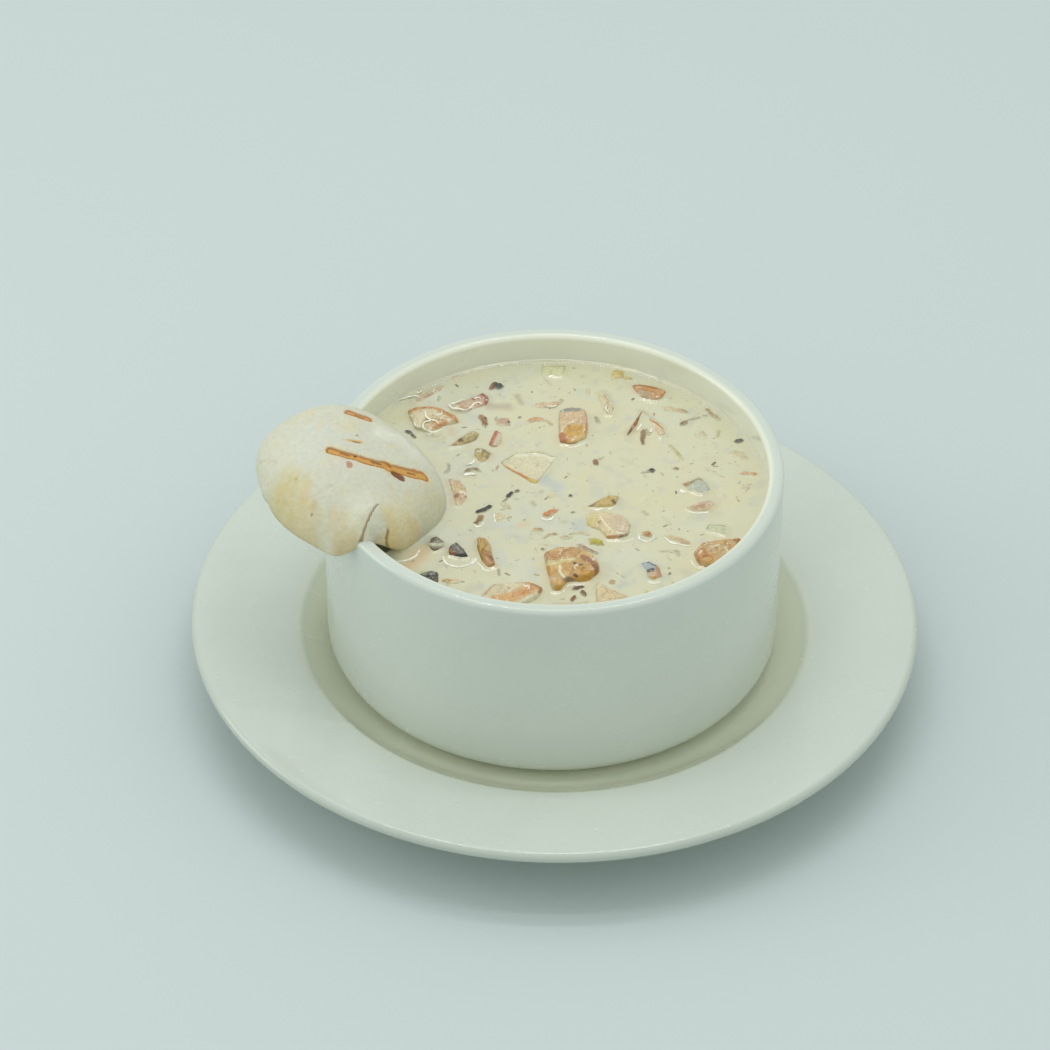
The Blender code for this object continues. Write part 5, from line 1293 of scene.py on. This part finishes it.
def skin_colours(u, v, y, side, streaks, flakes):
    """The skin before its marks: ivory, warmer in patches and towards the front, with streaks and flakes;
    towards the front it is also painted lighter, painted light over the shade there.
    """
    colours = np.tile(linear(IVORY), y.shape + (1,))
    warm = smooth(-0.2, 0.7, noise(u, v, 8.0, 41) + 0.35 * smooth(-10, -34, y) - 0.2)
    colours = mixed(colours, (208, 203, 172), 0.7 * warm)
    margin = 0.35 * smooth(74, 100, side)
    colours = mixed(colours, (212, 202, 164), margin * smooth(-0.6, 0.6, noise(u, v, 5.0, 48)))
    colours = mixed(colours, (208, 196, 156), 0.35 * smooth(0.30, 0.75, noise(u, v, 3.2, 49)))
    colours = mixed(colours, (208, 184, 142), 0.35 * smooth(0.42, 0.7, noise(u, v, 1.5, 51)))
    colours = colours * (1 + 0.025 * noise(u, v, 1.6, 50) + 0.015 * streaks + 0.03 * flakes)[..., None]
    # painted light: the skin is lightened towards the front, where it lies in shade
    return colours * (1 + 0.14 * smooth(-25, -32, y))[..., None]


def mushroom_cap(material):
    """The cap with its marks, cracks, wrinkles and gills."""
    placed, colatitude, angle = cap_grid(CAP_ROWS, CAP_COLUMNS)
    x, y = placed[..., 0].copy(), placed[..., 1].copy()
    above = smooth(math.radians(112), math.radians(84), colatitude)
    side = np.degrees(colatitude)
    around = 60 * np.cos(angle), 60 * np.sin(angle)
    streaks = one_noise(angle * 40, colatitude * 5, 44) * smooth(25, 70, side)
    unrolled = 1.15 * CAP_RADIUS * colatitude / (math.pi / 2)
    u, v = unrolled * np.cos(angle), unrolled * np.sin(angle)
    lift = (0.30 * noise(u, v, 9.0, 43) + 0.16 * noise(u, v, 2.8, 42) + 0.06 * noise(u, v, 0.9, 46)) * above
    lift = lift + 0.05 * streaks * above
    ruffle = smooth(70, 100, side) * smooth(140, 110, side)
    outward = np.stack([np.cos(angle), np.sin(angle)], axis=-1)
    placed[..., :2] += (0.45 * noise(around[0], around[1], 8.0, 47) * ruffle)[..., None] * outward
    flakes = smooth(0.0, 0.07, np.abs(noise(u, 0.6 * v, 2.0, 52, 3))) - 1
    lift = lift + 0.08 * flakes * above
    colours = skin_colours(u, v, y, side, streaks, flakes)
    stains_and_shade = [row for row in CAP_MARKS if row[3] < STAIN_STRENGTH]
    scorches = [row for row in CAP_MARKS if row[3] >= STAIN_STRENGTH]
    colours, relief = paint(x, y, colours, np.zeros(x.shape), stains_and_shade, 0.3, 0.45, 0.8, (u, v))
    colours, relief = paint(x, y, colours, relief, scorches, 0.10, 0.0, 0.28, (u, v))
    under = smooth(100, 124, side)
    gills = np.sin(CAP_GILLS * angle)
    gill_tone = 0.75 + 0.25 * gills
    flesh = linear((196, 178, 150)) * gill_tone[..., None]
    colours = colours + (flesh - colours) * under[..., None]
    placed[..., 2] += (lift + relief) * above
    placed[..., 2] += 0.25 * gills * smooth(126, 132, side) * smooth(176, 165, side)
    faces = tube_faces(CAP_ROWS, CAP_COLUMNS)
    return mesh_object("mushroom_cap_look", placed.reshape(-1, 3), faces, material, colours.reshape(-1, 3))


# Stage, light and camera

def stage():
    material, tree, shader = new_material("floor")
    node = noise_node(tree, 3.0)
    ramp = tree.nodes.new("ShaderNodeValToRGB")
    for element, tone in zip(ramp.color_ramp.elements, FLOOR_TONES):
        element.color = (*linear(tone), 1)
    tree.links.new(node.outputs["Fac"], ramp.inputs["Fac"])
    tree.links.new(ramp.outputs["Color"], shader.inputs["Base Color"])
    shader.inputs["Roughness"].default_value = 0.6
    shader.inputs["Specular IOR Level"].default_value = 0.1
    corners = [(i * FLOOR_REACH, j * FLOOR_REACH, 0) for i, j in ((-1, -1), (1, -1), (1, 1), (-1, 1))]
    mesh_object("floor", corners, [(0, 1, 2, 3)], material)


def area_light(name, place, target, width, depth, radiance):
    """A rectangle of light of a given brightness against a white surface in full light."""
    data = bpy.data.lights.new(name, "AREA")
    data.shape = "RECTANGLE"
    data.size = width * MM
    data.size_y = depth * MM
    data.energy = radiance * math.pi * data.size * data.size_y
    obj = bpy.data.objects.new(name, data)
    obj.location = Vector(place) * MM
    obj.rotation_euler = (Vector(target) - Vector(place)).to_track_quat("-Z", "Y").to_euler()
    bpy.context.scene.collection.objects.link(obj)


def lights():
    """Area lights in a pale world that is a little dimmer towards one side."""
    world = bpy.data.worlds.new("soft_box")
    bpy.context.scene.world = world
    world.use_nodes = True
    tree = world.node_tree
    background = tree.nodes["Background"]
    background.inputs["Color"].default_value = WORLD_TINT
    place = tree.nodes.new("ShaderNodeTexCoord")
    towards = tree.nodes.new("ShaderNodeVectorMath")
    towards.operation = "DOT_PRODUCT"
    towards.inputs[1].default_value = WORLD_DIM_SIDE
    strength = tree.nodes.new("ShaderNodeMapRange")
    strength.inputs["From Min"].default_value = -1.0
    strength.inputs["To Min"].default_value = WORLD_BRIGHT
    strength.inputs["To Max"].default_value = WORLD_DIM
    tree.links.new(place.outputs["Generated"], towards.inputs[0])
    tree.links.new(towards.outputs["Value"], strength.inputs["Value"])
    tree.links.new(strength.outputs["Result"], background.inputs["Strength"])
    for row in LIGHTS:
        area_light(*row)


def camera():
    data = bpy.data.cameras.new("camera")
    data.sensor_width = SENSOR
    data.lens = SENSOR * CAMERA_FOCUS / FRAME_WIDTH
    data.clip_start = 0.05
    data.clip_end = 20.0
    obj = bpy.data.objects.new("camera", data)
    bpy.context.scene.collection.objects.link(obj)
    pitch, yaw, roll = CAMERA_PITCH, CAMERA_YAW, CAMERA_ROLL
    forward = Vector((math.sin(yaw) * math.cos(pitch), math.cos(yaw) * math.cos(pitch), -math.sin(pitch)))
    right = Vector((math.cos(yaw), -math.sin(yaw), 0.0))
    down = forward.cross(right)
    turned_right = math.cos(roll) * right + math.sin(roll) * down
    turned_down = -math.sin(roll) * right + math.cos(roll) * down
    axes = Matrix((turned_right, -turned_down, -forward)).transposed().to_4x4()
    obj.matrix_world = Matrix.Translation(Vector(CAMERA_PLACE) * MM) @ axes
    bpy.context.scene.camera = obj


def main():
    bpy.context.scene.view_settings.view_transform = "Standard"
    camera()
    lights()
    stage()
    glaze = glaze_material("glaze")
    cream = food_material("cream", CREAM_LOOK)
    mushroom = food_material("mushroom", MUSHROOM_LOOK)
    greens = food_material("leek", LEEK_LOOK)
    skin = food_material("cap_skin", SKIN_LOOK)
    belongs(saucer(glaze), "glaze", "saucer")
    belongs(bowl(glaze), "glaze", "bowl")
    slots = {row["node"]: row["material_slot"] for row in frame["record"]["subparts"]}
    outlines = []
    for name, rise, lean, base, points, marks in CHUNKS:
        material = greens if slots[name] == "leek" else mushroom
        belongs(chunk(name, rise, lean, base, points, marks, material), slots[name], name)
        outlines.append(even_steps(spline(points, True, pull=CUT_PULL), OUTLINE_STEPS, True)[0])
    bases = [row[3] for row in CHUNKS]
    belongs(soup_surface(outlines, bases, cap_waterline(), cream), "soup", "soup")
    belongs(mushroom_cap(skin), "cap", "mushroom_cap")
    for kind, slot in SCRAP_SLOTS:
        belongs(scraps(kind, greens if kind == "green" else mushroom), slot)
    belongs(cream_lines(cream), "soup")
    belongs(crumbs(outlines + [cap_waterline()], mushroom), "pale")


main()
